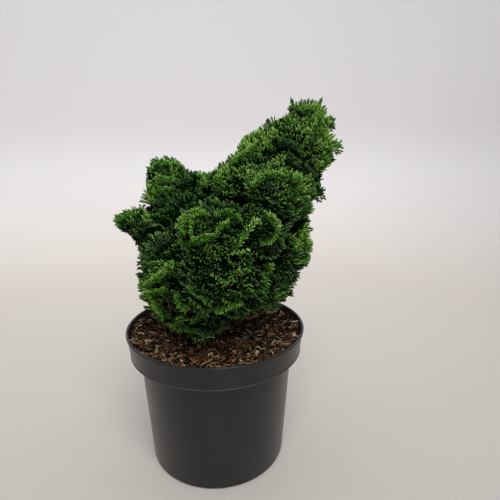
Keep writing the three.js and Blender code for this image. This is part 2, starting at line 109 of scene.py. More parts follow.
# The sprays: the source's rule, with more and finer sprays in each mass's space.
SPRAY_SPACING = 9.6
SPRAY_ROOT_SHARE = 0.5
SPRAY_REACH = 1.02
SPRAY_RAGGED = 0.05
SPRAY_SWIRL = 0.5
SPRAY_CUP = 0.012
WIDTH_KEPT = 0.4  # the share of a template's width that stays when it is shortened
LIMB_BEADS = 24
LIMB_CLEARANCE = 1.2
UNION_SHARPNESS = 8.0
CREASE_SPILL = 8.0  # how far a mass's sprays may grow over its neighbour's wall
SEARCH = np.linspace(0.3, 1.5, 61)  # where the crown's surface is sought, in shares of a mass's reach
PATCH_RIM = 1.6  # where a patch ends, in its radii

# Leading shoots as in the source, each with its breadth and how fresh it is.
CROWN_TIPS = [(101, -8, 320, 4, 1), (140, -8, 320, 5, 2), (157, -5, 296, 9, 3)]
RIGHT_TIPS = [(172, 0, 263, 17, 4), (163, 0, 244, 8, 1)]
LEFT_TIPS = [(-135, -10, 168, 15, 4), (-92, -12, 188, 12, 4)]
SHOULDER_TIPS = [(90, -52, 252, 15, 4)]
OUTER_TIPS = [(152, 0, 200, 18, 2), (149, -5, 208, 13, 2)]
LOWER_TIPS = [(132, -19, 159, 15, 3), (136, -19, 131, 14, 4)]
CUP_TIPS = [(58, -104, 185, 12, 5)]

# Single shoots that break the outline: their mass, the Y of their feet and of their tips, and for each
# shoot the X and height of its foot, those of its tip, its width and how fresh it is.
SINGLE_SHOOTS = [
    ("crown_tip", -8, -8, [(106, 304, 100.8, 320.5, 4.4, 1), (108, 306, 107.9, 316, 3.2, 2)]),
    ("crown_tip", -9, -9, [(104, 302, 98.5, 311, 3.4, 1)]),
    ("crown_tip", -8, -8, [(115, 310, 114.6, 319.4, 3.2, 4), (122, 311, 124.2, 320.2, 3.2, 4),
        (127, 310, 128.6, 319, 3.2, 3), (132, 308, 134.8, 316.4, 3.2, 4), (137, 308, 140.9, 321, 3.4, 3),
        (138, 304, 146.3, 311.3, 3.4, 2), (139, 300, 148, 308, 3.2, 2), (139, 298, 146, 302.8, 3.0, 1)]),
    ("crown_tip", -5, -5, [(141, 283, 152.4, 294.5, 2.6, 3), (150, 291, 152.7, 300.5, 3.0, 2),
        (151, 292, 156, 298.8, 3.0, 2), (151, 291.5, 161, 296, 3.0, 2), (151, 290, 159, 290.5, 3.0, 3),
        (150, 288.5, 160.5, 288, 3.4, 3), (150, 287, 160.5, 284.8, 3.4, 2), (142, 287, 155, 284.5, 2.6, 3),
        (152, 285.5, 161, 282, 3.0, 2), (151, 285, 157, 278.5, 3.0, 2)]),
    ("right_upper", 0, 0, [(150, 247, 165, 243.6, 4.0, 1), (150, 243, 159, 238, 3.2, 2)]),
    ("left_shoulder", -28, -28, [(-72, 199, -81, 200, 3.0, 2)]),
    ("left_side", -12, -12, [(-94, 137, -105.4, 135.4, 2.8, 1), (-94, 131, -105, 127.5, 2.8, 1)]),
    ("left_side", -20, -20, [(-96, 108, -107, 104, 2.8, 2), (-95, 102, -106.5, 98, 2.8, 2)]),
    ("left_low", -25, -25, [(-93, 92, -104, 87, 2.8, 2), (-94, 86, -104, 79, 2.8, 3)]),
    ("right_shoulder", -67.0, -78.5, [(71.8, 238.6, 68.5, 241.8, 2.5, 6),
        (74.1, 239.5, 70.0, 244.8, 2.5, 6), (77.5, 241.9, 74.2, 245.9, 2.5, 6),
        (79.6, 243.3, 75.5, 248.3, 2.5, 6), (83.0, 245.1, 79.9, 250.1, 2.5, 6),
        (86.8, 247.3, 85.8, 252.5, 2.5, 6), (88.8, 247.3, 90.0, 251.6, 2.5, 6),
        (88.0, 247.5, 90.5, 247.5, 2.5, 6), (87.7, 242.8, 89.7, 241.2, 2.5, 6),
        (81.0, 244.0, 78.0, 246.5, 2.5, 6)]),
    ("front_right", -121.8, -123.8, [(32.3, 119.2, 15.4, 107.5, 2.6, 4)]),
    ("front_right", -122.5, -124.5, [(25.6, 116.5, 28.1, 123, 2.4, 4), (29, 117.6, 34.1, 117.1, 2.4, 4)]),
    ("front_right", -122.9, -124.9, [(23.4, 114.2, 16.9, 117.3, 2.4, 4)]),
]

# Small sprays that stand out on the front: mass, foot and tip (X, Y, height), breadth and how fresh.
SPRIGS = [
    ("front_upper", (45.8, -118, 166.6), (58.7, -115, 186.3), 7, 6),
    ("front_upper", (34.7, -118, 150.8), (48, -115, 169.1), 6, 5),
    ("front_upper", (25, -118, 145.6), (51.3, -115, 151.2), 4, 6),
    ("front_upper", (39.2, -117, 155.3), (46.9, -113, 179.1), 5, 4),
    ("front_upper", (29.1, -117, 143.9), (40.3, -113, 169.1), 5, 3),
]

# The crests of cupped sprays: mass, the way that their shoots point (X, Y, Z), how fresh they are, how
# many rows of shoots they have, and places along each (X, Y, height).
CRESTS = [
    ("front_upper", (-0.5, -0.3, 0.9), 4.6, 3, [(-27, -110, 172), (-27, -107, 178), (-28, -102, 182),
        (-25, -100, 188), (-22, -96, 191), (-18, -96, 194), (-12, -100, 195), (-6, -103, 194),
        (0, -104, 194)]),
    ("front_upper", (-0.3, -0.5, 0.9), 4.2, 2, [(-16, -119, 171), (-15, -116, 180), (-16, -112, 185),
        (-14, -107, 189), (-9, -107, 192)]),
    ("front_upper", (0.15, -0.4, 1), 4.6, 3, [(-14, -121, 167), (-7, -123, 167), (0, -124, 170),
        (6, -124, 172), (12, -123, 172), (16, -120, 178), (20, -116, 183), (27, -111, 185)]),
    ("front_upper", (0.2, -0.2, 1), 4, 2, [(14, -105, 193), (22, -101, 195), (31, -96, 193),
        (38, -100, 188), (43, -103, 182)]),
    ("front_cup", (0.6, -0.5, 0.6), 5, 3, [(75, -97, 190), (79, -99, 186), (84, -100, 178),
        (86, -103, 170)]),
    ("front_cup", (0.5, -0.8, -0.1), 4, 2, [(85, -104, 168), (81, -107, 160), (73, -110, 155),
        (65, -112, 154)]),
    ("right_shoulder", (0, -0.3, 1), 5, 3, [(53, -76, 223), (59, -78, 228), (66, -76, 234), (73, -78, 236),
        (81, -79, 235), (89, -77, 237), (96, -77, 234)]),
    ("right_shoulder", (0.4, -0.3, 0.9), 5, 2, [(105, -77, 228), (110, -69, 232), (111, -74, 226)]),
    ("left_shoulder", (-0.5, -0.2, 0.9), 4.5, 3, [(-75, -52, 215), (-76, -43, 220), (-71, -43, 223),
        (-63, -43, 225), (-55, -41, 226), (-47, -39, 225), (-42, -41, 221)]),
    ("left_shoulder", (-0.6, -0.3, 0.7), 4.5, 2, [(-69, -61, 211), (-64, -58, 215), (-56, -58, 215),
        (-48, -58, 213)]),
    ("left_knob", (-0.2, -0.2, 1), 4.5, 2, [(-75, -32, 235), (-74, -29, 240), (-68, -28, 244),
        (-60, -27, 245), (-53, -25, 245), (-46, -24, 243)]),
    ("front_left", (-0.45, -0.4, 0.8), 5, 3, [(-84, -70, 95), (-75, -80, 104), (-60, -106, 119),
        (-52, -111, 126), (-45, -113, 134), (-39, -114, 137)]),
    ("left_low", (-0.6, -0.4, 0.5), 4.6, 3, [(-83, -74, 86), (-74, -80, 90), (-64, -90, 95),
        (-53, -104, 103)]),
    ("front_low_left", (-0.8, -0.4, -0.2), 4.5, 2, [(-77, -78, 81), (-73, -82, 72), (-71, -84, 66),
        (-64, -90, 63), (-62, -89, 53)]),
    ("front_middle", (-0.5, -0.7, -0.4), 4.2, 3, [(-37, -115, 95), (-38, -110, 84), (-33, -110, 75),
        (-25, -113, 74)]),
    ("front_middle", (-0.1, -0.6, 0.6), 3.5, 2, [(-20, -125, 111), (-16, -126, 105), (-5, -127, 99),
        (0, -126, 91), (6, -124, 90)]),
    ("front_right", (0.4, -0.5, 0.6), 4.2, 2, [(36, -120, 129), (42, -119, 130), (47, -118, 130)]),
    ("front_middle", (0, -0.7, -0.4), 4.6, 3, [(10, -111, 71), (14, -105, 68), (22, -105, 72),
        (31, -103, 74), (39, -105, 79)]),
    ("right_lower", (0.4, -0.4, 0.8), 4.6, 3, [(109, -62, 141), (114, -56, 151), (120, -44, 159),
        (125, -36, 159), (125, -47, 151), (125, -54, 143)]),
    ("left_arm", (-0.4, -0.2, 0.9), 4, 2, [(-120, -33, 173), (-115, -33, 178), (-106, -31, 180),
        (-97, -30, 181)]),
    ("crown_tip", (0.5, -0.3, 0.9), 4.4, 2, [(110, -48, 257), (113, -50, 262), (117, -51, 268),
        (122, -51, 275)]),
    ("crown_tip", (0.2, -0.2, 1), 4.6, 2, [(109, -39, 307), (115, -39, 309), (121, -39, 310),
        (128, -40, 308)]),
    ("crown_tip", (0.1, -0.2, 1), 4.8, 3, [(136, -42, 286), (137, -41, 292), (136, -40, 299),
        (134, -40, 305)]),
    ("crown_tip", (0, -0.3, 1), 4.4, 2, [(130, -47, 279), (128, -47, 288), (127, -46, 296)]),
    ("right_upper", (1, -0.2, 0.15), 4.4, 2, [(156, -8, 270), (162, -8, 268), (167, -8, 265),
        (170, -6, 264)]),
    ("right_upper", (1, -0.2, 0), 4.4, 2, [(156, -9, 264), (163, -9, 263), (168, -7, 262)]),
    ("right_upper", (1, -0.2, -0.2), 4.2, 2, [(156, -9, 257), (162, -9, 259), (166, -7, 261)]),
    ("right_shoulder", (-0.2, -0.6, 0.8), 4.6, 1, [(71, -74, 239), (74, -74, 241), (79, -74, 244),
        (83, -74, 245), (88, -74, 246)]),
    ("crown_tip", (0.1, -0.3, 1), 4.6, 2, [(122, -52, 282), (126, -50, 289), (129, -47, 299)]),
    ("ridge_middle", (-0.1, -0.3, 1), 5, 2, [(28, -28, 246), (35, -28, 252), (44, -29, 258), (53, -28, 264),
        (60, -27, 270)]),
    ("crown_tip", (-0.1, -0.6, 0.7), 2.6, 8, [(84, -43, 270), (92, -48, 270), (99, -52, 268),
        (106, -54, 262), (112, -52, 254)]),
    ("crown_tip", (0.1, -0.5, 0.8), 2.8, 5, [(90, -52, 256), (97, -58, 254), (104, -58, 248),
        (111, -53, 243)]),
    ("right_upper", (0.2, -0.5, 0.8), 2.6, 6, [(110, -50, 247), (117, -42, 242), (126, -34, 236),
        (132, -28, 230)]),
    ("front_low_left", (-0.1, -0.6, -0.6), 3.4, 2, [(-29, -95, 42), (-23, -87, 34), (-15, -77, 28),
        (-6, -77, 32)]),
]

# Bare brown stems in the gap low on the left of the front, each with its foot and tip (X, Y, height).
STEMS = [
    ((-47, -90, 64), (-46.5, -102, 86)),
    ((-46, -90, 68), (-43.5, -103, 79)),
    ((-47, -92, 76), (-49.5, -102, 90)),
]

# Where the crown's outline swells (1) or is hollowed (-1): X, Y, height above the ground, radius, sign.
SHAPING = [
    (125, -6, 290, 30, 1), (88, -3, 316, 22, -1), (93, -19, 303, 13, -1), (64, 7, 291, 11, -1),
    (-4, 42, 231, 12, -1), (-78, -33, 186, 13, -1), (-119, -25, 153, 10, -1), (-103, -26, 122, 12, -1),
    (-98, -20, 97, 12, 1), (144, -4, 192, 12, -1), (137, -11, 180, 10, -1), (-91, -8, 226, 10, -1),
    (-89, -24, 206, 11, -1), (-6, -87, 206, 15, -1), (10, -85, 207, 15, -1), (26, -83, 205, 14, -1),
    (28, 9, 267, 17, -1), (-5, 0, 239, 22, -1), (-88, -20, 197, 20, -1), (-98, 0, 231, 11, -1),
    (154, 5, 229, 15, -1), (142, 0, 178, 14, -1), (-126, -10, 195, 14, -1), (-119, -12, 134, 17, -1),
    (158, -5, 289, 11, -1), (-44, -101, 76, 9, -1), (121, -28, 231, 13, 1), (-11, -76, 30, 15, 1),
    (-38, -84, 24, 12, -1), (155, -5, 307, 14, -1), (-102, -34, 52, 18, -1), (-122, -12, 168, 14, 1),
    (51, 8, 268, 17, 1), (77, 6, 286, 16, 1), (18, -1, 237, 17, 1), (-80, -42, 190, 12, -1),
    (100, -38, 256, 17, 1), (136, 0, 204, 18, 1), (4, -118, 180, 12, -1), (-16, -81, 202, 12, -1),
    (67, -109, 173, 13, -1), (-40, -54, 211, 10, -1), (-42, -69, 193, 10, -1), (-45, -110, 110, 9, -1),
    (-44, -104, 84, 8, -1), (19, -121, 100, 9, -1), (63, -49, 246, 12, -1), (-2, -121, 138, 10, -1),
    (26, -119, 131, 9, -1), (-40, -105, 159, 9, -1),
]

# Patches of painted light and painted shade, lighter or darker than the rest of their mass: X, Y, height,
# radius, change of tone.
PAINTED_LIGHT_PATCHES = [
    (54, -27, 260, 34, 1.3), (75, -45, 250, 20, -1.2), (71, -44, 247, 10, -1.8), (79, -46, 252, 9, -1.2),
    (94, -53, 260, 13, 1.3), (127, -30, 232, 13, 1.3), (92, -36, 285, 13, -0.6), (100, -42, 257, 20, -0.3),
    (132, -42, 278, 22, 0.7), (140, -30, 258, 20, 0.6), (100, -30, 302, 14, -0.4),
    (-20, -34, 206, 28, -1.3), (-46, -60, 198, 24, -0.8), (-64, -50, 205, 14, 0.4),
    (14, -96, 199, 22, -1.0), (-16, -100, 190, 18, 0.6), (18, -114, 172, 20, -0.6),
    (38, -112, 165, 14, 1.0), (4, -116, 180, 13, -1.5), (-12, -118, 149, 16, 0.7),
    (46, -103, 174, 16, -0.6), (68, -106, 170, 20, -1.6), (104, -50, 248, 18, 0.7),
    (114, -46, 234, 16, 0.7), (120, -45, 147, 20, 0.6), (-62, -95, 148, 24, -1.4),
    (-64, -90, 108, 20, 0.9), (12, -120, 124, 22, 0.3), (36, -112, 140, 16, 0.8),
    (-14, -118, 121, 16, -0.9), (8, -100, 62, 22, 0.7), (34, -108, 92, 18, 0.9), (-60, -90, 60, 17, -0.7),
    (-44, -106, 98, 16, -1.0), (19, -119, 100, 12, -1.0), (140, -40, 287, 20, 0.6),
    (153, -12, 257, 16, 0.8), (138, -24, 200, 22, 1.0), (130, -24, 157, 16, 1.0), (128, -48, 134, 18, 0.8),
    (-88, -48, 192, 18, 0.5), (-90, -60, 97, 22, 0.5), (-80, -72, 70, 18, 0.6), (-118, -30, 168, 16, 0.6),
    (98, -42, 280, 18, -0.6), (-47, -60, 194, 20, -0.9), (96, -83, 197, 18, -1.0),
    (100, -61, 134, 18, -0.8), (98, -64, 146, 13, -0.8), (-58, -32, 226, 16, -0.4),
    (-95, -30, 155, 14, -0.6), (-45, -98, 75, 16, -0.7), (-8, -84, 26, 10, 0.9), (-47, -98, 82, 8, -1.6),
    (125, -30, 308, 16, -0.4), (-79, -55, 163, 16, -0.6), (-12, -117, 148, 14, 0.6),
    (-43, -105, 148, 14, 0.4), (9, -74, 45, 18, 0.7), (-11, -114, 175, 12, -0.4), (108, -50, 225, 18, 0.6),
    (-18, -94, 194, 12, 0.8), (-4, -74, 204, 14, -1.5), (18, -73, 203, 14, -1.2),
    (-58, -90, 161, 14, -0.8), (-100, -34, 166, 16, -0.4),
]

# Each mass as in the source: name, where its limb leaves the trunk, its centre (X, Y, height above the
# ground), its half length along the limb, its half width, whether it has a bough, how fresh its shoots
# are (0 to 1), and the tips of its leading shoots.
MASSES = [
    ("crown_tip", 1, (118, -6, 276), 47, 41, False, 0.6, CROWN_TIPS),
    ("right_upper", 0.85, (130, 6, 246), 37, 32, False, 0.6, RIGHT_TIPS),
    ("ridge_upper", 0.86, (81, 11, 254), 44, 40, False, 0.55, []),
    ("ridge_middle", 0.74, (54, 9, 236), 44, 39, False, 0.5, []),
    ("ridge_lower", 0.62, (29, -9, 205), 40, 39, False, 0.35, []),
    ("right_shoulder", 0.7, (80, -37, 202), 50, 47, False, 0.35, SHOULDER_TIPS),
    ("right_outer", 0.78, (106, 2, 193), 44, 40, False, 0.3, OUTER_TIPS),
    ("right_lower", 0.4, (95, -19, 126), 47, 41, True, 0.45, LOWER_TIPS),
    ("front_cup", 0.54, (59, -63, 158), 45, 39, True, 0.35, CUP_TIPS),
    ("front_upper", 0.42, (5, -66, 154), 55, 52, True, 0.45, []),
    ("left_knob", 0.45, (-58, 0, 214), 43, 36, True, 0.5, []),
    ("left_shoulder", 0.38, (-54, -28, 180), 46, 39, True, 0.45, []),
    ("saddle", 0.53, (-14, 18, 187), 45, 44, False, 0.15, []),
    ("left_arm", 0.33, (-96, -10, 156), 46, 24, True, 0.35, LEFT_TIPS),
    ("left_side", 0.22, (-68, -12, 117), 47, 41, True, 0.15, []),
    ("left_low", 0.17, (-60, -29, 75), 48, 45, True, 0.6, []),
    ("front_left", 0.3, (-38, -62, 128), 47, 46, True, 0.2, []),
    ("front_middle", 0.26, (-6, -77, 101), 46, 46, True, 0.25, []),
    ("front_right", 0.34, (34, -70, 115), 46, 46, True, 0.25, []),
    ("front_low_right", 0.2, (34, -46, 80), 45, 44, True, 0.4, []),
    ("front_low_left", 0.13, (-32, -55, 65), 46, 44, True, 0.35, []),
    ("front_foot", 0.08, (-11, -32, 44), 40, 40, False, 0.3, []),
    ("right_low", 0.27, (70, -14, 83), 49, 48, True, 0.3, []),
    ("right_back", 0.44, (82, 32, 139), 55, 51, True, 0.3, []),
    ("back_low_left", 0.15, (-37, 26, 66), 55, 52, False, 0.3, []),
    ("back_low_right", 0.2, (31, 35, 67), 57, 53, False, 0.3, []),
    ("back_left", 0.27, (-45, 40, 145), 56, 53, True, 0.3, []),
    ("back_middle", 0.38, (8, 58, 134), 57, 55, True, 0.3, []),
    ("back_right", 0.66, (68, 46, 198), 52, 51, False, 0.3, []),
    ("back_upper", 0.56, (18, 44, 192), 50, 49, False, 0.35, []),
]

GOLDEN_ANGLE = math.pi * (3 - math.sqrt(5))


# ---------------------------------------------------------------- materials
def material(name, colour, roughness, build):
    """A node material. `build` adds its nodes and links them to the shader's sockets."""
    made = bpy.data.materials.new(name)
    made.use_nodes = True
    made.diffuse_color = (*colour, 1)
    tree = made.node_tree
    shader = tree.nodes["Principled BSDF"]
    shader.inputs["Base Color"].default_value = (*colour, 1)
    shader.inputs["Roughness"].default_value = roughness
    build(tree, shader)
    return made


def add(tree, kind, **inputs):
    """A node, with its inputs given by name. An underscore stands for a space."""
    node = tree.nodes.new(kind)
    for key, value in inputs.items():
        node.inputs[key.replace("_", " ")].default_value = value
    return node


def noise(tree, scale, stretch=(1, 1, 1), detail=4.0, roughness=0.55):
    """A noise pattern in the object's own coordinates, in metres, stretched along its axes."""
    place = add(tree, "ShaderNodeTexCoord")
    mapping = add(tree, "ShaderNodeMapping", Scale=stretch)
    pattern = add(tree, "ShaderNodeTexNoise", Scale=scale, Detail=detail, Roughness=roughness)
    tree.links.new(place.outputs["Object"], mapping.inputs["Vector"])
    tree.links.new(mapping.outputs["Vector"], pattern.inputs["Vector"])
    return pattern.outputs["Fac"]


def ramp(tree, factor, stops):
    """Colours by factor, from (position, colour) stops in their order."""
    node = add(tree, "ShaderNodeValToRGB")
    elements = node.color_ramp.elements
    for element, (position, _) in zip(elements, stops):
        element.position = position
    for position, _ in stops[2:]:
        elements.new(position)
    for element, (_, colour) in zip(elements, stops):
        element.color = (*colour, 1)
    tree.links.new(factor, node.inputs["Fac"])
    return node.outputs["Color"]


def bump(tree, shader, height, distance, strength=1.0):
    """Relief by a pattern, up to `distance` in metres."""
    node = add(tree, "ShaderNodeBump", Strength=strength, Distance=distance)
    tree.links.new(height, node.inputs["Height"])
    tree.links.new(node.outputs["Normal"], shader.inputs["Normal"])


def tinted(colour, factor):
    """The colour, darker or lighter."""
    return tuple(min(1.0, c * factor) for c in colour)


def patterned(name, colour, roughness, pattern, stops, relief, gloss=0.5, tooth=None):
    """A material whose colour follows one noise, and its relief the same or a finer one, `tooth`."""

    def build(tree, shader):
        shader.inputs["Specular IOR Level"].default_value = gloss
        spots = noise(tree, **pattern)
        tree.links.new(ramp(tree, spots, stops), shader.inputs["Base Color"])
        bump(tree, shader, noise(tree, **tooth) if tooth else spots, *relief)

    return material(name, colour, roughness, build)


def leaf_material(name, colour, gloss):
    stops = [(0.35, tinted(colour, 0.82)), (0.65, tinted(colour, 1.18))]
    tooth = {"scale": 900, "detail": 1.0}
    return patterned(name, colour, 0.42, {"scale": 90}, stops, (0.0003, 0.6), gloss, tooth)


# From the darkest to the lightest, each with its gloss.
LEAF_TONES = [
    # The darkest tone is painted shade: the ribs, the inner blades and the feet of the shoots.
    ("leaf_deep_shade", (0.001, 0.010, 0.001), 0.0),
    ("leaf_shade", (0.005, 0.032, 0.002), 0.16),
    ("leaf_dark", (0.012, 0.060, 0.003), 0.16),
    ("leaf_green", (0.028, 0.104, 0.009), 0.16),
    ("leaf_bright", (0.058, 0.173, 0.016), 0.16),
    ("leaf_fresh", (0.116, 0.276, 0.030), 0.16),
    ("leaf_lime", (0.270, 0.460, 0.100), 0.2),
]
LIGHTEST = len(LEAF_TONES) - 1
# The undersides of the scales have a grey bloom: the same tones without the deepest and the lightest.
BLOOM_TONES = [
    ("bloom_shade", (0.009, 0.028, 0.006), 0.2),
    ("bloom_dark", (0.021, 0.052, 0.014), 0.2),
    ("bloom_green", (0.041, 0.088, 0.027), 0.2),
    ("bloom_bright", (0.080, 0.150, 0.054), 0.2),
    ("bloom_fresh", (0.150, 0.255, 0.098), 0.2),
]
LEAVES = [leaf_material(*row) for row in LEAF_TONES + BLOOM_TONES]

FIBRES = {"scale": 160, "stretch": (1, 1, 0.12), "detail": 8.0}
BARK_STOPS = [(0.3, (0.045, 0.022, 0.013)), (0.55, (0.15, 0.07, 0.036)), (0.75, (0.27, 0.16, 0.095))]
BARK = patterned("bark", (0.14, 0.065, 0.035), 0.85, FIBRES, BARK_STOPS, (0.0016,))
TWIG_STOPS = [(0.35, (0.020, 0.013, 0.006)), (0.65, (0.055, 0.033, 0.016))]
TWIG_BARK = patterned("twig", (0.09, 0.05, 0.022), 0.8, {"scale": 120}, TWIG_STOPS, (0.0004,))


def pot_material(name, dark, light):
    """Plastic from its darker to its lighter colour, in faint streaks."""

    def build(tree, shader):
        dust = noise(tree, 9, detail=6.0, roughness=0.65)
        grain = noise(tree, 700, detail=2.0)
        shader.inputs["Specular IOR Level"].default_value = 0.36
        streaks = noise(tree, 22, stretch=(1, 1, 0.2), detail=8.0, roughness=0.7)
        stops = [(0.35, dark), (0.7, light)]
        tree.links.new(ramp(tree, streaks, stops), shader.inputs["Base Color"])
        rough = add(tree, "ShaderNodeMapRange", To_Min=0.25, To_Max=0.40)
        tree.links.new(dust, rough.inputs["Value"])
        tree.links.new(rough.outputs["Result"], shader.inputs["Roughness"])
        bump(tree, shader, grain, 0.00012, 0.5)

    return material(name, light, 0.46, build)


def chip_material(name, colour):
    stops = [(0.3, tinted(colour, 0.6)), (0.7, tinted(colour, 1.35))]
    return patterned(name, colour, 0.88, {"scale": 260, "detail": 5.0}, stops, (0.0008,), 0.08)


CHIP_TONES = [
    ("chip_black", (0.004, 0.002, 0.001)),
    ("chip_dark", (0.022, 0.012, 0.006)),
    ("chip_brown", (0.070, 0.037, 0.020)),
    ("chip_red", (0.160, 0.066, 0.027)),
    ("chip_olive", (0.135, 0.095, 0.052)),
    ("chip_tan", (0.300, 0.195, 0.115)),
    ("chip_pale", (0.480, 0.375, 0.260)),
]
CHIP_SHARES = [0.25, 0.25, 0.20, 0.09, 0.08, 0.09, 0.04]


# ---------------------------------------------------------------- meshes
def mesh_piece(name, points, triangles, materials, tones=None, smooth=True):
    """An object from points in millimetres and triangles, with a material index for each triangle."""
    points = np.asarray(points, np.float32) * MM
    triangles = np.asarray(triangles, np.int32)
    mesh = bpy.data.meshes.new(name)
    mesh.vertices.add(len(points))
    mesh.vertices.foreach_set("co", points.ravel())
    mesh.loops.add(triangles.size)
    mesh.loops.foreach_set("vertex_index", triangles.ravel())
    mesh.polygons.add(len(triangles))
    mesh.polygons.foreach_set("loop_start", np.arange(0, triangles.size, 3, dtype=np.int32))
    mesh.polygons.foreach_set("use_smooth", np.full(len(triangles), smooth))
    for each in materials:
        mesh.materials.append(each)
    if tones is not None:
        mesh.polygons.foreach_set("material_index", np.asarray(tones, np.int32))
    mesh.update(calc_edges=True)
    piece = bpy.data.objects.new(name, mesh)
    bpy.context.scene.collection.objects.link(piece)
    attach(piece, "root")
    return piece


class Heap:
    """Points, triangles and their tones (or one tone for all) that are gathered into one mesh."""

    def __init__(self):
        self.points = []
        self.triangles = []
        self.tones = []
        self.count = 0

    def put(self, points, triangles, tones):
        self.points.append(points)
        self.triangles.append(triangles + self.count)
        self.tones.append(np.broadcast_to(tones, len(triangles)))
        self.count += len(points)

    def joined(self):
        return np.concatenate(self.points), np.concatenate(self.triangles), np.concatenate(self.tones)

    def piece(self, name, materials, smooth=True):
        points, triangles, tones = self.joined()
        return mesh_piece(name, points, triangles, materials, tones, smooth)


def chance(seed, place, use):
    """The source's seeded rule: a number from 0 to 1 for a seed, a place and a use."""
    s = np.sin(seed * 127.1 + place * 311.7 + use * 74.7) * 43758.5453
    return s - np.floor(s)


# ---------------------------------------------------------------- limbs
def upright(place):
    """A place given by its X, Y and height above the ground."""
    return np.array([place[0], place[1], GROUND + GAP + place[2]], float)


class Bezier:
    """A Bezier curve of two or three degrees, with its points and tangents by share."""

    def __init__(self, *controls):
        self.controls = np.array(controls, float)

    def at(self, share):
        share = np.asarray(share, float)[..., None]
        rows = [self.controls[i] + 0 * share for i in range(len(self.controls))]
        while len(rows) > 1:
            rows = [a + (b - a) * share for a, b in zip(rows, rows[1:])]
        return rows[0]

    def way(self, share):
        share = np.asarray(share)
        step = 1e-4
        ahead = self.at(np.minimum(1, share + step)) - self.at(np.maximum(0, share - step))
        return ahead / np.linalg.norm(ahead, axis=-1, keepdims=True)

    def length(self):
        places = self.at(np.linspace(0, 1, 201))
        return float(np.linalg.norm(np.diff(places, axis=0), axis=1).sum())


TRUNK_LINE = Bezier(*[upright(place) for place in TRUNK_COURSE])
TRUNK_LENGTH = TRUNK_LINE.length()


def trunk_radius(share):
    return TRUNK_FOOT_RADIUS + (TRUNK_TIP_RADIUS - TRUNK_FOOT_RADIUS) * np.power(share, TRUNK_TAPER)


def trunk_lobes(share, angle):
    """The flare of the trunk's foot, as a factor on its radius."""
    flare = ROOT_FLARE * np.exp(-share * TRUNK_LENGTH / ROOT_FLARE_HEIGHT)
    return 1 + flare * (1 + ROOT_RIDGE * np.cos(ROOTS * angle))


class Space:
    """One mass: its limb, and the spheroid and planes that bound it."""

    def __init__(self, index, row):
        self.name, self.leaves, at, self.long, self.wide, self.bough, self.fresh, self.tips = row
        self.index = index
        start = TRUNK_LINE.at(self.leaves)
        self.centre = upright(at)
        across = self.centre - start
        bend = start + across / 2
        bend[2] -= LIMB_SAG * math.hypot(across[0], across[1])
        self.line = Bezier(start, bend, self.centre)
        length = np.linalg.norm(across)
        self.foot_radius = min(LIMB_TIP_RADIUS + LIMB_SWELL * length, LIMB_LIMIT * trunk_radius(self.leaves))
        self.axis = across / length if self.leaves < 1 else TRUNK_LINE.way(1.0)

    def radius_at(self, share):
        return self.foot_radius + (LIMB_TIP_RADIUS - self.foot_radius) * share

    def spheroid(self, ways):
        """How far the spheroid reaches along unit vectors."""
        along = ways @ self.axis
        across2 = np.maximum(0, 1 - along * along)
        return 1 / np.sqrt(along * along / self.long**2 + across2 / self.wide**2)

    def set_walls(self, others):
        """The planes towards the neighbours, and the ground last."""
        normals = []
        offsets = []
        for other in others:
            normal = other.centre - self.centre
            distance = np.linalg.norm(normal)
            normal = normal / distance
            mine = self.spheroid(normal)
            theirs = other.spheroid(-normal)
            normals.append(normal)
            offsets.append(distance * mine / (mine + theirs) - GAP / 2)
        normals.append(np.array([0, 0, -1.0]))
        offsets.append(self.centre[2] - GROUND - CHIP_RISE - 2 * GAP)
        self.normals = np.array(normals)
        self.offsets = np.array(offsets)

    def reach(self, ways):
        """How far the space reaches along unit vectors."""
        slope = ways @ self.normals.T
        walls = np.where(slope > FLAT, self.offsets / np.maximum(slope, FLAT), np.inf)
        return np.minimum(self.spheroid(ways), walls.min(axis=-1))

    def entry(self):
        """Where the limb enters the mass, as a share of the limb."""
        shares = np.arange(0, 1, ENTRY_STEP)
        away = self.line.at(shares) - self.centre
        distance = np.linalg.norm(away, axis=1)
        within = distance < LIMB_ENTRY * self.reach(away / distance[:, None])
        return float(shares[np.argmax(within)]) if within.any() else 1.0


SPACES = [Space(index, row) for index, row in enumerate(MASSES)]
for space in SPACES:
    space.set_walls([other for other in SPACES if other is not space])

# The masses grow together where they meet: a smooth union of their spheroids.
CENTRES = np.array([space.centre for space in SPACES])
AXES = np.array([space.axis for space in SPACES])
LONGS = np.array([space.long for space in SPACES])
WIDES = np.array([space.wide for space in SPACES])
SHAPES = np.array([(*upright(row[:3]), *row[3:]) for row in SHAPING])


def union(depth):
    """The smooth union's term for a depth, which is 1 on a form's own surface and less inside."""
    return np.exp(UNION_SHARPNESS * (1 - depth))


def fullness(places):
    """At least 1 inside the crown, for an array of places."""
    away = places[..., None, :] - CENTRES
    distance2 = (away**2).sum(axis=-1)
    along2 = (away * AXES).sum(axis=-1) ** 2
    depth = np.sqrt(along2 / LONGS**2 + np.maximum(0, distance2 - along2) / WIDES**2)
    shaped = np.linalg.norm(places[..., None, :] - SHAPES[:, :3], axis=-1) / SHAPES[:, 3]
    return union(depth).sum(axis=-1) + (SHAPES[:, 4] * union(shaped)).sum(axis=-1)


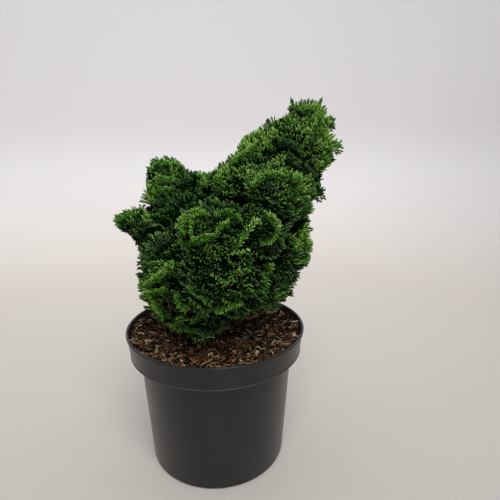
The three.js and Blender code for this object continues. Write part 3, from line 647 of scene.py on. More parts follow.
def surface(space, ways):
    """How far the crown reaches from the mass's centre along `ways`, and whether that is in its own space."""
    radii = space.spheroid(ways)[:, None] * SEARCH
    full = fullness(space.centre + ways[:, None] * radii[..., None])
    empty = full < 1
    empty[:, 0] = False
    first = np.where(empty.any(axis=1), empty.argmax(axis=1), len(SEARCH) - 1)
    row = np.arange(len(ways))
    inner = full[row, first - 1]
    outer = full[row, first]
    share = np.clip((inner - 1) / np.maximum(inner - outer, FLAT), 0, 1)
    room = radii[row, first - 1] + share * (radii[row, first] - radii[row, first - 1])
    slope = ways @ space.normals.T
    steep = np.maximum(slope, FLAT)
    spilled = (space.offsets[:-1] + CREASE_SPILL) / steep[:, :-1]
    walls = np.where(slope[:, :-1] > FLAT, spilled, np.inf)
    ground = np.where(slope[:, -1] > FLAT, space.offsets[-1] / steep[:, -1], np.inf)
    return np.minimum(room, ground), room <= walls.min(axis=1)


def openness(space, places):
    """From 0 in a crease between masses to 1 on the open face of one, for places on the crown's surface."""
    away = places - space.centre
    along2 = (away @ space.axis) ** 2
    across2 = np.maximum(0, (away**2).sum(axis=1) - along2)
    return np.clip(union(np.sqrt(along2 / space.long**2 + across2 / space.wide**2)), 0, 1)


def painted_patch_tone(places):
    """The painted light and shade that the patches give, as a change of tone, for an array of places."""
    tone = np.zeros(len(places))
    for x, y, height, radius, change in PAINTED_LIGHT_PATCHES:
        away = np.linalg.norm(places - upright((x, y, height)), axis=1) / radius
        tone += change * np.clip(PATCH_RIM - away, 0, 1)
    return tone


BEAD_SHARES = np.linspace(0, 1, LIMB_BEADS + 1)
TRUNK_BEADS = TRUNK_LINE.at(BEAD_SHARES)
TRUNK_BEAD_RADII = trunk_radius(BEAD_SHARES) + LIMB_CLEARANCE


def tube(line, first, last, radius, sides, steps, level_foot=False):
    """A closed tube along a line, from one share of it to another, with `radius(share, angle)`."""
    shares = np.linspace(first, last, steps + 1)
    centres = line.at(shares)
    ways = line.way(shares)
    side = np.array([0.3, 1, 0.2])
    angles = np.arange(sides) / sides * 2 * math.pi
    rings = []
    for share, centre, way in zip(shares, centres, ways):
        side = side - way * (side @ way)
        side = side / np.linalg.norm(side)
        other = np.cross(way, side)
        reach = radius(share, angles)[:, None]
        rings.append(centre + reach * (np.cos(angles)[:, None] * side + np.sin(angles)[:, None] * other))
    if level_foot:
        rings[0][:, 2] = centres[0][2]
    points = np.concatenate(rings + [centres[:1], centres[-1:]])
    k = np.arange(sides)
    turned = (k + 1) % sides
    foot = (steps + 1) * sides
    triangles = [np.stack([foot + 0 * k, turned, k], 1)]
    for step in range(steps):
        a = step * sides
        triangles.append(np.stack([a + k, a + turned, a + sides + turned], 1))
        triangles.append(np.stack([a + k, a + sides + turned, a + sides + k], 1))
    last_ring = steps * sides
    triangles.append(np.stack([foot + 1 + 0 * k, last_ring + k, last_ring + turned], 1))
    return points, np.concatenate(triangles)


def relief(share, angle, seed, length, ridges, depth):
    """Stringy bark: long ridges that wander round the limb, as a factor on its radius."""
    along = share * length
    wander = 0.5 * np.sin(along / 23 + seed) + 0.3 * np.sin(along / 9 + 2.3 * seed)
    strands = np.sin(ridges * (angle + 0.25 * wander) + seed)
    fine = np.sin(2.3 * ridges * angle + along / 3.1 + seed) * np.sin(along / 5.7 + 1.7 * seed + 3 * angle)
    return 1 + depth * (0.6 * strands + 0.4 * fine)


def trunk_piece():
    def radius(share, angle):
        bark = relief(share, angle, 1.0, TRUNK_LENGTH, *TRUNK_RELIEF)
        return trunk_radius(share) * trunk_lobes(share, angle) * bark

    points, triangles = tube(TRUNK_LINE, 0, 1, radius, *TRUNK_MESH, level_foot=True)
    piece = mesh_piece("trunk_bark", points, triangles, [BARK])
    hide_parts("trunk")


def bough_piece(space):
    length = space.line.length()

    def radius(share, angle):
        return space.radius_at(share) * relief(share, angle, 2.0 + space.index, length, *BOUGH_RELIEF)

    points, triangles = tube(space.line, 0, space.entry(), radius, *BOUGH_MESH)
    piece = mesh_piece(f"{space.name}_bough_bark", points, triangles, [BARK])
    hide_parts(f"bough_{space.name}")


# ---------------------------------------------------------------- sprays
NEEDLE_LENGTH = 13.0
NEEDLE_SIZES = (0.85, 1.15)
NEEDLE_WIDTH = 1.7
NEEDLE_THICKNESS = 1.15
NEEDLE_SINK = 0.4  # how far its edges lie under its middle, in thicknesses
NEEDLE_TURN = 0.1  # how far, in radians, it may be off its rib
# The rings of a fine shoot: their share of its length, and their width as a share of its widest.
NEEDLE_RINGS = [(0.48, 0.85), (0.86, 1.0)]
RIB_RADIUS = 0.5
TEMPLATES = 24
FAN_LENGTH = 24.0
FAN_LENGTHS = (0.9, 1.0)
FAN_SHOOTS = 7
FAN_PITCH = 0.16  # radians between the shoots of a fan
FAN_LOOSE = 0.035
FAN_ROUND = 0.012  # how much shorter the outer shoots of a fan are
FAN_LIFT = 0.1
FAN_TONES = [-1, 0, 0, 1, 1]  # how much lighter than the fan its shoots can be
SIDE_TURN = 0.5  # radians from a shoot to its side shoot, and how that varies
SIDE_TURNS = (0.75, 1.25)
SIDE_SIZES = (0.6, 0.8)
SIDE_LIFT = 0.3
SIDE_RIB = 0.3  # how far its rib runs into it
BLOOM_SHARE = 0.85  # of the shoots of a fan with a bloom

FROND_SHOOT = 8.5
FROND_WIDTH = 2.7
FROND_THICKNESS = 1.2
FROND_SINK = 0.35
# The rings of a leading shoot, as above.
FROND_RINGS = [(0, 0.5), (0.64, 1.0)]
FROND_PITCH = 3.4
FROND_LOOSE = 0.25
FROND_LEAFY = 0.75  # the share of its length that carries side shoots
FROND_FIRST = 0.7  # how far behind the tip the first of them sits, in shoots
FROND_TURNS = (0.5, 0.72)  # their angles to the rib, in radians
FROND_LEAST = 0.55  # the reach of the first, in shoots
FROND_WIDENS = 0.42  # and how it grows, as a share of the breadth
FROND_REACHES = (0.85, 1.1)
FROND_LIFT = 0.12
# A side shoot that reaches far has a twin on each hand: how far behind its own foot they sit, on its side
# of the rib and on the other, their turn from it, and their length and width as shares of its own.
TWIN_REACH = 10
TWIN_BACK = (1.5, 3.5)
TWIN_TURN, TWIN_LENGTH, TWIN_WIDTH = 0.6, 0.75, 0.9

# A fine shoot is a blunt spindle: a foot, two rings of a left, a right and a top point, and a tip.
NEEDLE_TRIANGLES = np.array(
    [
        (0, 3, 1), (0, 2, 3), (0, 1, 2),
        (1, 3, 6), (1, 6, 4), (3, 2, 5), (3, 5, 6), (2, 1, 4), (2, 4, 5),
        (4, 6, 7), (6, 5, 7), (5, 4, 7),
    ]
)
# Tones of a fine shoot's triangles: its foot painted darker as shade, its tip painted lighter as a highlight.
NEEDLE_PAINTED_LIGHT = np.array([-2, -2, -2, 0, 0, 0, 0, 0, 0, 1, 1, 1])
# A leading shoot has a foot ring, a shoulder ring and a tip. Each ring has a left, a right and a top point.
SHOOT_TRIANGLES = np.array(
    [
        (0, 2, 1), (0, 1, 4), (0, 4, 3), (1, 2, 5), (1, 5, 4),
        (2, 0, 3), (2, 3, 5), (3, 4, 6), (4, 5, 6), (5, 3, 6),
    ]
)
# Tones of a leading shoot's triangles: its foot painted darker as shade, its tip painted lighter as a
# highlight.
SHOOT_PAINTED_LIGHT = np.array([-1, 0, 0, 0, 0, 0, 0, 1, 1, 1])
RIB_TRIANGLES = np.array([(0, 2, 1), (0, 1, 3), (1, 2, 3), (2, 0, 3)])
RIB = -9  # the rank of a fan's ribs, which have the darkest tone as painted shade among the shoots
RIB_RANK = np.full(4, RIB)
STALK_RANK = np.full(4, -1)


def axes_of(angle, lift):
    """A shoot's direction, and the directions across it and out of it, in its spray's own axes."""
    way = np.array([math.cos(angle), math.sin(angle), lift])
    across = np.array([-math.sin(angle), math.cos(angle), 0])
    return way, across, np.array([0, 0, 1.0])


def needle_points(foot, angle, length, lift):
    way, across, up = axes_of(angle, lift)
    points = [foot]
    for share, swell in NEEDLE_RINGS:
        middle = foot + way * (share * length)
        low = middle - up * (NEEDLE_SINK * swell * NEEDLE_THICKNESS)
        side = across * (0.5 * swell * NEEDLE_WIDTH)
        points += [low + side, low - side, middle + up * (swell * NEEDLE_THICKNESS)]
    points.append(foot + way * length)
    return np.array(points)


def shoot_points(foot, angle, length, width, lift):
    way, across, up = axes_of(angle, lift)
    points = []
    for share, swell in FROND_RINGS:
        middle = foot + way * (share * length) - up * (FROND_SINK * swell * FROND_THICKNESS)
        side = across * (swell * width / 2)
        points += [middle + side, middle - side, middle + up * (swell * FROND_THICKNESS)]
    points.append(foot + way * length)
    return np.array(points)


def rib_points(foot, tip, radius):
    way = tip - foot
    across = np.array([-way[1], way[0], 0]) / math.hypot(way[0], way[1])
    up = np.array([0, 0, 1.0])
    return np.array([foot + across * radius, foot - across * radius, foot + up * radius, tip])


def fan_template(seed):
    """A fan of fine shoots, each second one with a side shoot under it, on ribs from the fan's root.

    Returns points, triangles and for each triangle its rank, how much lighter it is than the fan, with
    painted shade at the feet of the shoots and on the ribs and a painted highlight at their tips, and whether
    it can have a bloom.
    """
    random = np.random.default_rng(seed)
    heap = Heap()
    bloom = []

    def put_needle(foot, angle, size, lift, tone):
        heap.put(needle_points(foot, angle, size, lift), NEEDLE_TRIANGLES, NEEDLE_PAINTED_LIGHT + tone)

    for k in range(FAN_SHOOTS):
        place = k - (FAN_SHOOTS - 1) / 2
        angle = place * FAN_PITCH + random.uniform(-FAN_LOOSE, FAN_LOOSE)
        length = FAN_LENGTH * (1 - FAN_ROUND * place * place) * random.uniform(*FAN_LENGTHS)
        lift = FAN_LIFT * random.uniform(-1, 1)
        way = axes_of(angle, lift)[0]
        size = NEEDLE_LENGTH * random.uniform(*NEEDLE_SIZES)
        foot = way * (length - size)
        tone = random.choice(FAN_TONES)
        put_needle(foot, angle + random.uniform(-NEEDLE_TURN, NEEDLE_TURN), size, lift, tone)
        bloom.append(np.full(len(NEEDLE_TRIANGLES), random.random() < BLOOM_SHARE))
        if k % 2:
            side = 1 if (k // 2 + seed) % 2 else -1
            turn = angle + side * SIDE_TURN * random.uniform(*SIDE_TURNS)
            rise = lift + random.uniform(-SIDE_LIFT, SIDE_LIFT)
            size = NEEDLE_LENGTH * random.uniform(*SIDE_SIZES)
            put_needle(foot, turn, size, rise, tone)
            rib = rib_points(np.zeros(3), foot + SIDE_RIB * size * way, RIB_RADIUS)
            heap.put(rib, RIB_TRIANGLES, RIB_RANK)
            bloom.append(np.full(len(NEEDLE_TRIANGLES), random.random() < BLOOM_SHARE))
            bloom.append(np.zeros(len(RIB_TRIANGLES), bool))
    return *heap.joined(), np.concatenate(bloom)


def frond(seed, length, breadth, scale=1.0):
    """A leading shoot like a small fern: a rib with alternate side shoots that shorten towards its tip."""
    random = np.random.default_rng(seed)
    heap = Heap()
    shoot, width, pitch = scale * FROND_SHOOT, scale * FROND_WIDTH, scale * FROND_PITCH

    def put_rib(foot, tip, radius):
        heap.put(rib_points(foot, tip, radius), RIB_TRIANGLES, STALK_RANK)

    def put_shoot(foot, angle, size, width, lift):
        heap.put(shoot_points(foot, angle, size, width, lift), SHOOT_TRIANGLES, SHOOT_PAINTED_LIGHT)

    put_rib(np.zeros(3), np.array([length - 0.5 * shoot, 0, 0]), scale)
    put_shoot(np.array([length - shoot, 0, 0]), 0, shoot, width, 0)
    for k in range(round(FROND_LEAFY * length / pitch)):
        side = 1 if k % 2 else -1
        behind = pitch * (k + random.uniform(-FROND_LOOSE, FROND_LOOSE))
        along = length - FROND_FIRST * shoot - behind
        turn = side * random.uniform(*FROND_TURNS)
        widest = FROND_LEAST * shoot + FROND_WIDENS * breadth * math.sqrt(k + 0.4)
        reach = min(breadth, widest) * random.uniform(*FROND_REACHES)
        lift = random.uniform(-FROND_LIFT, FROND_LIFT)
        way = axes_of(turn, lift)[0]
        foot = np.array([along, 0, 0])
        size = min(shoot, reach)
        put_rib(foot, foot + way * (reach - 0.5 * size), 0.7 * scale)
        put_shoot(foot + way * (reach - size), turn, size, width, lift)
        if reach > TWIN_REACH:
            for hand in (-1, 1):
                start = foot + way * (reach - size - TWIN_BACK[hand != side])
                put_shoot(start, turn + hand * TWIN_TURN, TWIN_LENGTH * size, TWIN_WIDTH * width, lift)
    return heap.joined()


FANS = [fan_template(seed) for seed in range(TEMPLATES)]

# The dark inner blades, painted near-black as the shade inside a mass.
BLADE_TEETH = 4
BLADE_LENGTH = 17.0
BLADE_SPREAD = 0.5  # radians between the teeth of a blade
BLADE_NOTCH = 0.74  # where its notches lie, and its thickest place, as shares of its length
BLADE_MIDDLE = 0.55
BLADE_ROUND = 0.1  # how much shorter its outer teeth are
BLADE_TOP, BLADE_UNDER = 1.6, -1.0


def blade_template():
    """A toothed inner blade, as the source's sprays are, that closes the view into a mass."""

    def at(reach, angle):
        return np.array([reach * math.cos(angle), reach * math.sin(angle), 0])

    points = [np.zeros(3)]
    middle = (BLADE_TEETH - 1) / 2
    for tooth in range(BLADE_TEETH):
        angle = (tooth - middle) * BLADE_SPREAD
        if tooth:
            points.append(at(BLADE_NOTCH * BLADE_LENGTH, angle - BLADE_SPREAD / 2))
        points.append(at(BLADE_LENGTH * (1 - BLADE_ROUND * abs(tooth - middle)), angle))
    count = len(points)
    for thick in (BLADE_TOP, BLADE_UNDER):
        points.append(np.array([BLADE_MIDDLE * BLADE_LENGTH, 0, thick]))
    triangles = []
    for i in range(count):
        after = (i + 1) % count
        triangles += [(i, after, count), (after, i, count + 1)]
    return np.array(points), np.array(triangles)


BLADE_POINTS, BLADE_TRIANGLES = blade_template()


def unit(vectors):
    """The vectors at length 1."""
    return vectors / np.maximum(np.linalg.norm(vectors, axis=-1, keepdims=True), 1e-9)


def spiral(space, spacing, seed):
    """The golden spiral of directions of the source's rule, at a finer spacing."""
    count = round(4 * math.pi * space.long * space.wide / spacing**2)
    k = np.arange(count)
    height = 1 - 2 * (k + 0.5) / count
    angle = GOLDEN_ANGLE * k + SPRAY_SWIRL * chance(space.index, k, 6) + seed
    level = np.sqrt(1 - height * height)
    return k, np.stack([level * np.cos(angle), level * np.sin(angle), height], 1)


def scatter(index, numbers, *uses):
    """Seeded numbers from -0.5 to 0.5, in a column for each use."""
    return np.stack([chance(index, numbers, use) for use in uses], -1) - 0.5


def place_spray(template, root, way, across, stretch=1.0, cup=0.0):
    """A template's points, with its root, its direction, how much longer it is and how cupped."""
    out = np.cross(way, across)
    u = template[:, :1] * stretch
    v = template[:, 1:2] * (WIDTH_KEPT + (1 - WIDTH_KEPT) * stretch)
    w = template[:, 2:] + cup * v * v
    return root + u * way + v * across + w * out


# The lobes that the fans of a mass gather into, and how much their places, domes, sizes and tilts vary.
LOBE_SPACING = 30.0
LOBE_SPACINGS = (0.8, 0.45)  # the least, and how much it varies from mass to mass
LOBE_ROOT = 0.15
LOBE_SHIFT = 0.25
LOBE_DOME = 0.25
LOBE_SIZE = 0.05
LOBE_TILT = 1.2
LOBE_WANDER = 0.75  # how far a lobe's growth may be off, which is less the higher the mass lies
LOBE_CALM = 300
LOBE_RIM = 0.11  # how far a lobe's upper rim stands out, and its foot lies back, as a share of its reach
# The sprays point out of their lobe and, the more so the fresher the mass is, where it grows.
GROWTH = 0.7
GROWTH_FRESH = 0.9
# How much the growth turns up: from a height of 50 mm, and fully 120 mm above that.
GROWTH_UP, GROWTH_FROM, GROWTH_RANGE = 0.75, 50, 120
FACING, LEAST_FACING = 0.55, 0.25  # how much of the push has a spray on its lobe's flank, and at its foot
FAN_FIT = 0.75  # a fan's greatest length, as a share of the mass's reach there
FAN_TURN, FAN_WAY = 0.7, 0.24  # how far a fan's turn and its direction may be off
FAN_SIZES = (0.85, 0.15)  # the least, and how much it varies
# How deep a layer of sprays lies, its change of tone (a painted shade that darkens the inner layer), and its
# swirl.
LAYERS = [(1.0, 0.0, 0.0), (0.82, -1.6, 2.0)]
# A spray's tone, and what adds to it: its height on the mass (painted light from above), how fresh the mass
# is, its lobe, how open it lies (painted shade in the creases), its place in the lobe (painted light on the
# upper rim, painted shade at the foot), and chance.
TONE_BASE = 2.42
TOP_LIGHT_TONE = 0.7
TONE_FRESH = 1.6
TONE_LOBE = 1.3
CREASE_SHADE_TONE = 1.5
RIM_LIGHT_TONE = 1.2
TONE_SPREAD = 1.6
# How likely a spray shows its bloom, and how that falls as it is fresher.
BLOOM_BASE = 1.9
BLOOM_FALL = 0.45

# The inner blades' spacing, depth, tilt, and the least share of their depth and how much it varies.
BLADE_SPACING = 9.0
BLADE_SHARE = 0.6
BLADE_TILT = 0.9
BLADE_DEPTHS = (0.8, 0.3)
BLADE_CUP = 0.01

TWIG_RADIUS = 1.0
TWIG_FEET = (0.45, 0.5)  # where on its limb a twig starts: the least share, and how much it varies
# A twig's rings (share of its length, of its radius), how far it bows down, and its corners' angles.
TWIG_RINGS = [(0, 1.0), (0.5, 0.8)]
TWIG_BOW = 0.32
TWIG_CORNERS = (0, 2.1, 4.2)
TWIG_TRIANGLES = np.array(
    [
        (0, 1, 2), (0, 4, 1), (0, 3, 4), (1, 5, 2), (1, 4, 5),
        (2, 3, 0), (2, 5, 3), (3, 6, 4), (4, 6, 5), (5, 6, 3),
    ]
)
STEM_RADIUS = 1.3


def put_twig(heap, foot, root, radius=TWIG_RADIUS, tone=0):
    """A tapering three-sided twig that bows down a little between its ends."""
    way = root - foot
    across = unit(np.cross(way, [0.2, 0.1, 1.0]))
    up = np.cross(across, unit(way))
    points = []
    for share, swell in TWIG_RINGS:
        bow = TWIG_BOW * share * (1 - share) * np.linalg.norm(way)
        middle = foot + way * share - up * bow
        for turn in TWIG_CORNERS:
            points.append(middle + radius * swell * (math.cos(turn) * across + math.sin(turn) * up))
    points.append(root)
    heap.put(np.array(points), TWIG_TRIANGLES, tone)


def in_range(tones):
    """The tones, kept to those that the leaves have."""
    return np.clip(tones, 0, LIGHTEST)


def bloomed(tones, bloom):
    """The tones with their bloom where `bloom` says so and the tone has one."""
    return np.where(bloom & (tones > 0) & (tones < LIGHTEST), tones + LIGHTEST, tones)


# What the leading shoots and the sprigs turn their faces to, their seeds, and how cupped they are.
FRONT = [0.25, 1, 0.1]
LEADING_SEED, LEADING_CUP = 200, 0.004
SPRIG_SEED, SPRIG_CUP, SPRIG_SCALE = 300, 0.01, 0.68
LEADING_TWIG = 0.9  # where on its limb a leading shoot's twig starts


def put_frond(heap, foot, tip, seed, breadth, fresh, cup, scale=1.0):
    """A leading shoot from its foot to its tip, in the plane that the tree shows to its front."""
    way = unit(tip - foot)
    across = unit(np.cross(way, FRONT))
    points, triangles, rank = frond(seed, np.linalg.norm(tip - foot), breadth, scale)
    heap.put(place_spray(points, foot, way, across, cup=cup), triangles, in_range(fresh + rank))


def leading_shoots(space, heap, twigs):
    """The mass's leading shoots."""
    for number, (x, y, height, breadth, fresh) in enumerate(space.tips):
        tip = upright((x, y, height))
        way = unit(tip - space.centre)
        root = space.centre + way * SPRAY_ROOT_SHARE * space.spheroid(way)
        seed = LEADING_SEED + 10 * space.index + number
        put_frond(heap, root, tip, seed, breadth, fresh, LEADING_CUP)
        put_twig(twigs, space.line.at(LEADING_TWIG), root)


def single_shoots(space, heap):
    """The single shoots that break the mass's outline."""
    for name, foot_y, tip_y, shoots in SINGLE_SHOOTS:
        if name != space.name:
            continue
        for foot_x, foot_height, tip_x, tip_height, width, fresh in shoots:
            foot, tip = upright((foot_x, foot_y, foot_height)), upright((tip_x, tip_y, tip_height))
            way = unit(tip - foot)
            across = unit(np.cross(way, [0, 1, 0]))
            points = shoot_points(np.zeros(3), 0, np.linalg.norm(tip - foot), width, 0)
            heap.put(place_spray(points, foot, way, across), SHOOT_TRIANGLES, in_range(fresh + SHOOT_PAINTED_LIGHT))


def sprigs(space, heap):
    """The mass's small sprays that stand out on the front."""
    for number, (name, foot, tip, breadth, fresh) in enumerate(SPRIGS):
        if name == space.name:
            seed = SPRIG_SEED + number
            put_frond(heap, upright(foot), upright(tip), seed, breadth, fresh, SPRIG_CUP, SPRIG_SCALE)


CREST_SEED = 500
CREST_PITCH = 2.3
CREST_ROW = 3.2
CREST_ROWS = 0.4  # how far, in rows, a shoot may be out of its own
CREST_STEP = 1.0  # how far each row stands before the one above it
CREST_SHOOT = 8.5
CREST_SIZES = (0.8, 1.2)
CREST_LOOSE = 0.3
CREST_ROW_SHADE = 0.7  # how much darker each row is painted as shade, and then how much a shoot's tone may be off
CREST_TONES = 0.7
CREST_BLOOM = 2  # the freshest tone that has a bloom
# The side shoot of each shoot: where it leaves it and how long it is, in its lengths, its turn, its lift.
BRANCH_FOOT, BRANCH_LENGTH = 0.3, 0.6
BRANCH_TURNS = (0.8, 1.4)
BRANCH_LIFT = 0.4


def crests(space, heap):
    """Rows of short shoots along the crests of the mass's cupped sprays, the lowest row painted the darkest
    as shade.
    """
    for number, (name, way, fresh, rows, places) in enumerate(CRESTS):
        if name != space.name:
            continue
        random = np.random.default_rng(CREST_SEED + number)
        way = unit(np.array(way, float))
        line = np.array([upright(place) for place in places])
        along = np.concatenate([[0], np.cumsum(np.linalg.norm(np.diff(line, axis=0), axis=1))])
        for row in range(rows):
            for stop in np.arange(0, along[-1], CREST_PITCH):
                at = stop + CREST_PITCH * random.uniform(-0.5, 0.5)
                place = np.array([np.interp(at, along, line[:, k]) for k in range(3)])
                turn = unit(way + CREST_LOOSE * random.normal(size=3))
                sunk = way * CREST_ROW * (row + random.uniform(-CREST_ROWS, CREST_ROWS))
                tip = place - sunk - np.array([0, CREST_STEP, 0]) * row
                size = CREST_SHOOT * random.uniform(*CREST_SIZES)
                foot = tip - turn * size
                across = unit(np.cross(turn, (0.3, 1, 0.2)))
                # Each further row is painted darker: painted shade under the crest.
                tone = round(fresh - CREST_ROW_SHADE * row + random.uniform(-CREST_TONES, CREST_TONES))
                tones = in_range(tone + NEEDLE_PAINTED_LIGHT)
                if tone <= CREST_BLOOM:
                    tones = bloomed(tones, True)
                shoot = needle_points(np.zeros(3), 0, size, 0)
                side = random.choice([-1, 1]) * SIDE_TURN * random.uniform(*BRANCH_TURNS)
                lift = random.uniform(-BRANCH_LIFT, BRANCH_LIFT)
                start = np.array([BRANCH_FOOT * size, 0, 0])
                for points in (shoot, needle_points(start, side, BRANCH_LENGTH * size, lift)):
                    heap.put(place_spray(points, foot, turn, across), NEEDLE_TRIANGLES, tones)


class Lobes:
    """The rounded lobes of a mass: where they lie, their size, tilt and change of tone, and their growth."""

    def __init__(self, space):
        index = space.index
        height = space.centre[2] - GROUND
        turned_up = GROWTH_UP * np.clip((height - GROWTH_FROM) / GROWTH_RANGE, 0.1, 1)
        growth = unit(space.axis + np.array([0, 0, turned_up]))
        least, more = LOBE_SPACINGS
        self.spacing = LOBE_SPACING * (least + more * chance(index, 0, 50))
        numbers, ways = spiral(space, self.spacing, 2.0 * index)
        self.ways = unit(ways + LOBE_SHIFT * scatter(index, numbers, 20, 21, 22))
        self.tone = chance(index, numbers, 23) - 0.5
        self.size = 1 - LOBE_SIZE * chance(index, numbers, 24)
        self.tilt = LOBE_TILT * (chance(index, numbers, 25) - 0.5)
        wander = LOBE_WANDER * np.clip(1.2 - height / LOBE_CALM, 0.3, 1)
        self.growth = unit(growth + wander * scatter(index, numbers, 40, 41, 42))


def fans(space, heap, twigs):
    """Fans of shoots over the mass, gathered into rounded lobes, in an outer layer and an inner layer painted
    darker as shade.
    """
    index = space.index
    push = GROWTH + GROWTH_FRESH * space.fresh
    lobes = Lobes(space)
    for depth, shade, swirl in LAYERS:
        numbers, ways = spiral(space, SPRAY_SPACING, swirl)
        room, own = surface(space, ways)
        closeness = ways @ lobes.ways.T
        nearest = closeness.argmax(axis=1)
        away = np.arccos(np.clip(closeness.max(axis=1), -1, 1))
        rise = ((ways - lobes.ways[nearest]) * lobes.growth[nearest]).sum(axis=1)
        rim = np.clip(2 * rise * np.sqrt(space.long * space.wide) / lobes.spacing, -1, 1)
        ragged = SPRAY_REACH - SPRAY_RAGGED * chance(index, numbers, 7) + LOBE_RIM * (rim - 0.5)
        lengths = depth * room * ragged * lobes.size[nearest] * (1 - LOBE_DOME * away**2)
        tips = space.centre + ways * lengths[:, None]
        apart = np.linalg.norm(tips[:, None] - TRUNK_BEADS[None], axis=2)
        near = (apart < TRUNK_BEAD_RADII).any(axis=1)
        # Painted light and shade: lighter where a spray faces up and on a lobe's upper rim, darker in the
        # creases between masses and at a lobe's foot.
        level = TONE_BASE + shade + TOP_LIGHT_TONE * ways[:, 2] + TONE_FRESH * space.fresh
        level += TONE_LOBE * lobes.tone[nearest]
        level += CREASE_SHADE_TONE * (openness(space, tips) - 1) + painted_patch_tone(tips)
        level += TONE_SPREAD * (chance(index, numbers, 12) - 0.5) + RIM_LIGHT_TONE * rim
        for i in np.nonzero(own & ~near)[0]:
            number, lobe = numbers[i], nearest[i]
            lobe_root = space.centre + lobes.ways[lobe] * LOBE_ROOT * room[i]
            facing = np.clip(FACING + ways[i] @ lobes.growth[lobe], LEAST_FACING, 1)
            loose = FAN_WAY * scatter(index, number, 26, 27, 28)
            way = unit(unit(tips[i] - lobe_root) + push * facing * lobes.growth[lobe] + loose)
            shorter = FAN_SIZES[0] + FAN_SIZES[1] * chance(index, number, 9)
            length = min(FAN_LENGTH, FAN_FIT * lengths[i]) * shorter
            root = tips[i] - way * length
            side = unit(np.cross(way, [0.15, 0.25, 1.0]))
            turn = lobes.tilt[lobe] + FAN_TURN * (chance(index, number, 8) - 0.5)
            across = side * math.cos(turn) + np.cross(way, side) * math.sin(turn)
            points, triangles, rank, bloom = FANS[int(chance(index, number, 14) * TEMPLATES)]
            tone = int(np.clip(round(level[i]), 1, LIGHTEST - 1))
            # The ribs take the darkest tone: painted shade.
            tones = np.where(rank == RIB, 0, in_range(tone + rank))
            if chance(index, number, 16) < BLOOM_BASE - BLOOM_FALL * level[i]:
                tones = bloomed(tones, bloom)
            heap.put(place_spray(points, root, way, across, length / FAN_LENGTH, SPRAY_CUP), triangles, tones)
            foot = TWIG_FEET[0] + TWIG_FEET[1] * chance(index, number, 15)
            put_twig(twigs, space.line.at(foot), root)


def blades(space, heap):
    """Dark inner blades that close the view into the mass, in the darkest tone as painted shade."""
    index = space.index
    numbers, ways = spiral(space, BLADE_SPACING, 1.0)
    room, _ = surface(space, ways)
    least, more = BLADE_DEPTHS
    for i, number in enumerate(numbers):
        out = unit(ways[i] + BLADE_TILT * scatter(index, number, 30, 31, 32))
        way = unit(np.cross(out, [0.1, 0.2, 1.0]))
        turn = 2 * math.pi * chance(index, number, 33)
        way = way * math.cos(turn) + np.cross(out, way) * math.sin(turn)
        across = np.cross(out, way)
        depth = least + more * chance(index, number, 34)
        middle = space.centre + ways[i] * room[i] * BLADE_SHARE * depth
        root = middle - way * 0.5 * BLADE_LENGTH
        # The blades take the darkest tone: painted shade.
        heap.put(place_spray(BLADE_POINTS, root, way, across, cup=BLADE_CUP), BLADE_TRIANGLES, 0)


def foliage_piece(space, twigs):
    heap = Heap()
    leading_shoots(space, heap, twigs)
    single_shoots(space, heap)
    sprigs(space, heap)
    crests(space, heap)
    fans(space, heap, twigs)
    blades(space, heap)
    piece = heap.piece(f"{space.name}_sprays", LEAVES)
    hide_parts(f"foliage_{space.name}")


# ---------------------------------------------------------------- pot and mulch
COLLAR_FOOT = POT_HEIGHT - COLLAR_DEPTH
SHOULDER = COLLAR_FOOT + POT_WALL


def body_radius(z):
    """The radius of the pot's body at a height, and below, of its collar and of its inside."""
    return BODY_FOOT_RADIUS + (BODY_TOP_RADIUS - BODY_FOOT_RADIUS) * z / COLLAR_FOOT


def collar_radius(z):
    return COLLAR_FOOT_RADIUS + (LIP_RADIUS - COLLAR_FOOT_RADIUS) * (z - COLLAR_FOOT) / COLLAR_DEPTH


def inside_radius(z):
    share = (z - SHOULDER) / (POT_HEIGHT - SHOULDER)
    low = collar_radius(SHOULDER) - POT_WALL
    return low + (LIP_RADIUS - LIP_THICKNESS - low) * share


def rounded(profile, steps=4):
    """Points of a profile whose rows are a point and the radius that its corner is rounded by."""
    corners = [Vector(row[:2]) for row in profile]
    points = []
    for i, (here, (across, up, radius)) in enumerate(zip(corners, profile)):
        if radius <= 0:
            points.append((across, up))
            continue
        before = corners[i - 1] - here
        after = corners[(i + 1) % len(corners)] - here
        cut = min(radius, 0.45 * before.length, 0.45 * after.length)
        start = here + before.normalized() * cut
        end = here + after.normalized() * cut
        for step in range(steps + 1):
            t = step / steps
            points.append(tuple((1 - t) ** 2 * start + 2 * t * (1 - t) * here + t * t * end))
    return points


def lathe_piece(name, profile, segments, made):
    """A lathe about Z from (radius, height) points in millimetres. Points on the axis close it."""
    mesh = bpy.data.meshes.new(name)
    shape = bmesh.new()
    angles = [2 * math.pi * k / segments for k in range(segments)]
    rings = []
    for radius, z in profile:
        reach = radius * MM
        places = [(0, 0)] if radius < FLAT else [(reach * math.cos(a), reach * math.sin(a)) for a in angles]
        rings.append([shape.verts.new((x, y, z * MM)) for x, y in places])
    for a, b in zip(rings, rings[1:]):
        for k in range(segments):
            nxt = (k + 1) % segments
            if len(a) == 1:
                shape.faces.new((a[0], b[nxt], b[k]))
            elif len(b) == 1:
                shape.faces.new((a[k], a[nxt], b[0]))
            else:
                shape.faces.new((a[k], a[nxt], b[nxt], b[k]))
    bmesh.ops.recalc_face_normals(shape, faces=shape.faces)
    shape.to_mesh(mesh)
    shape.free()
    mesh.materials.append(made)
    piece = bpy.data.objects.new(name, mesh)
    bpy.context.scene.collection.objects.link(piece)
    return piece


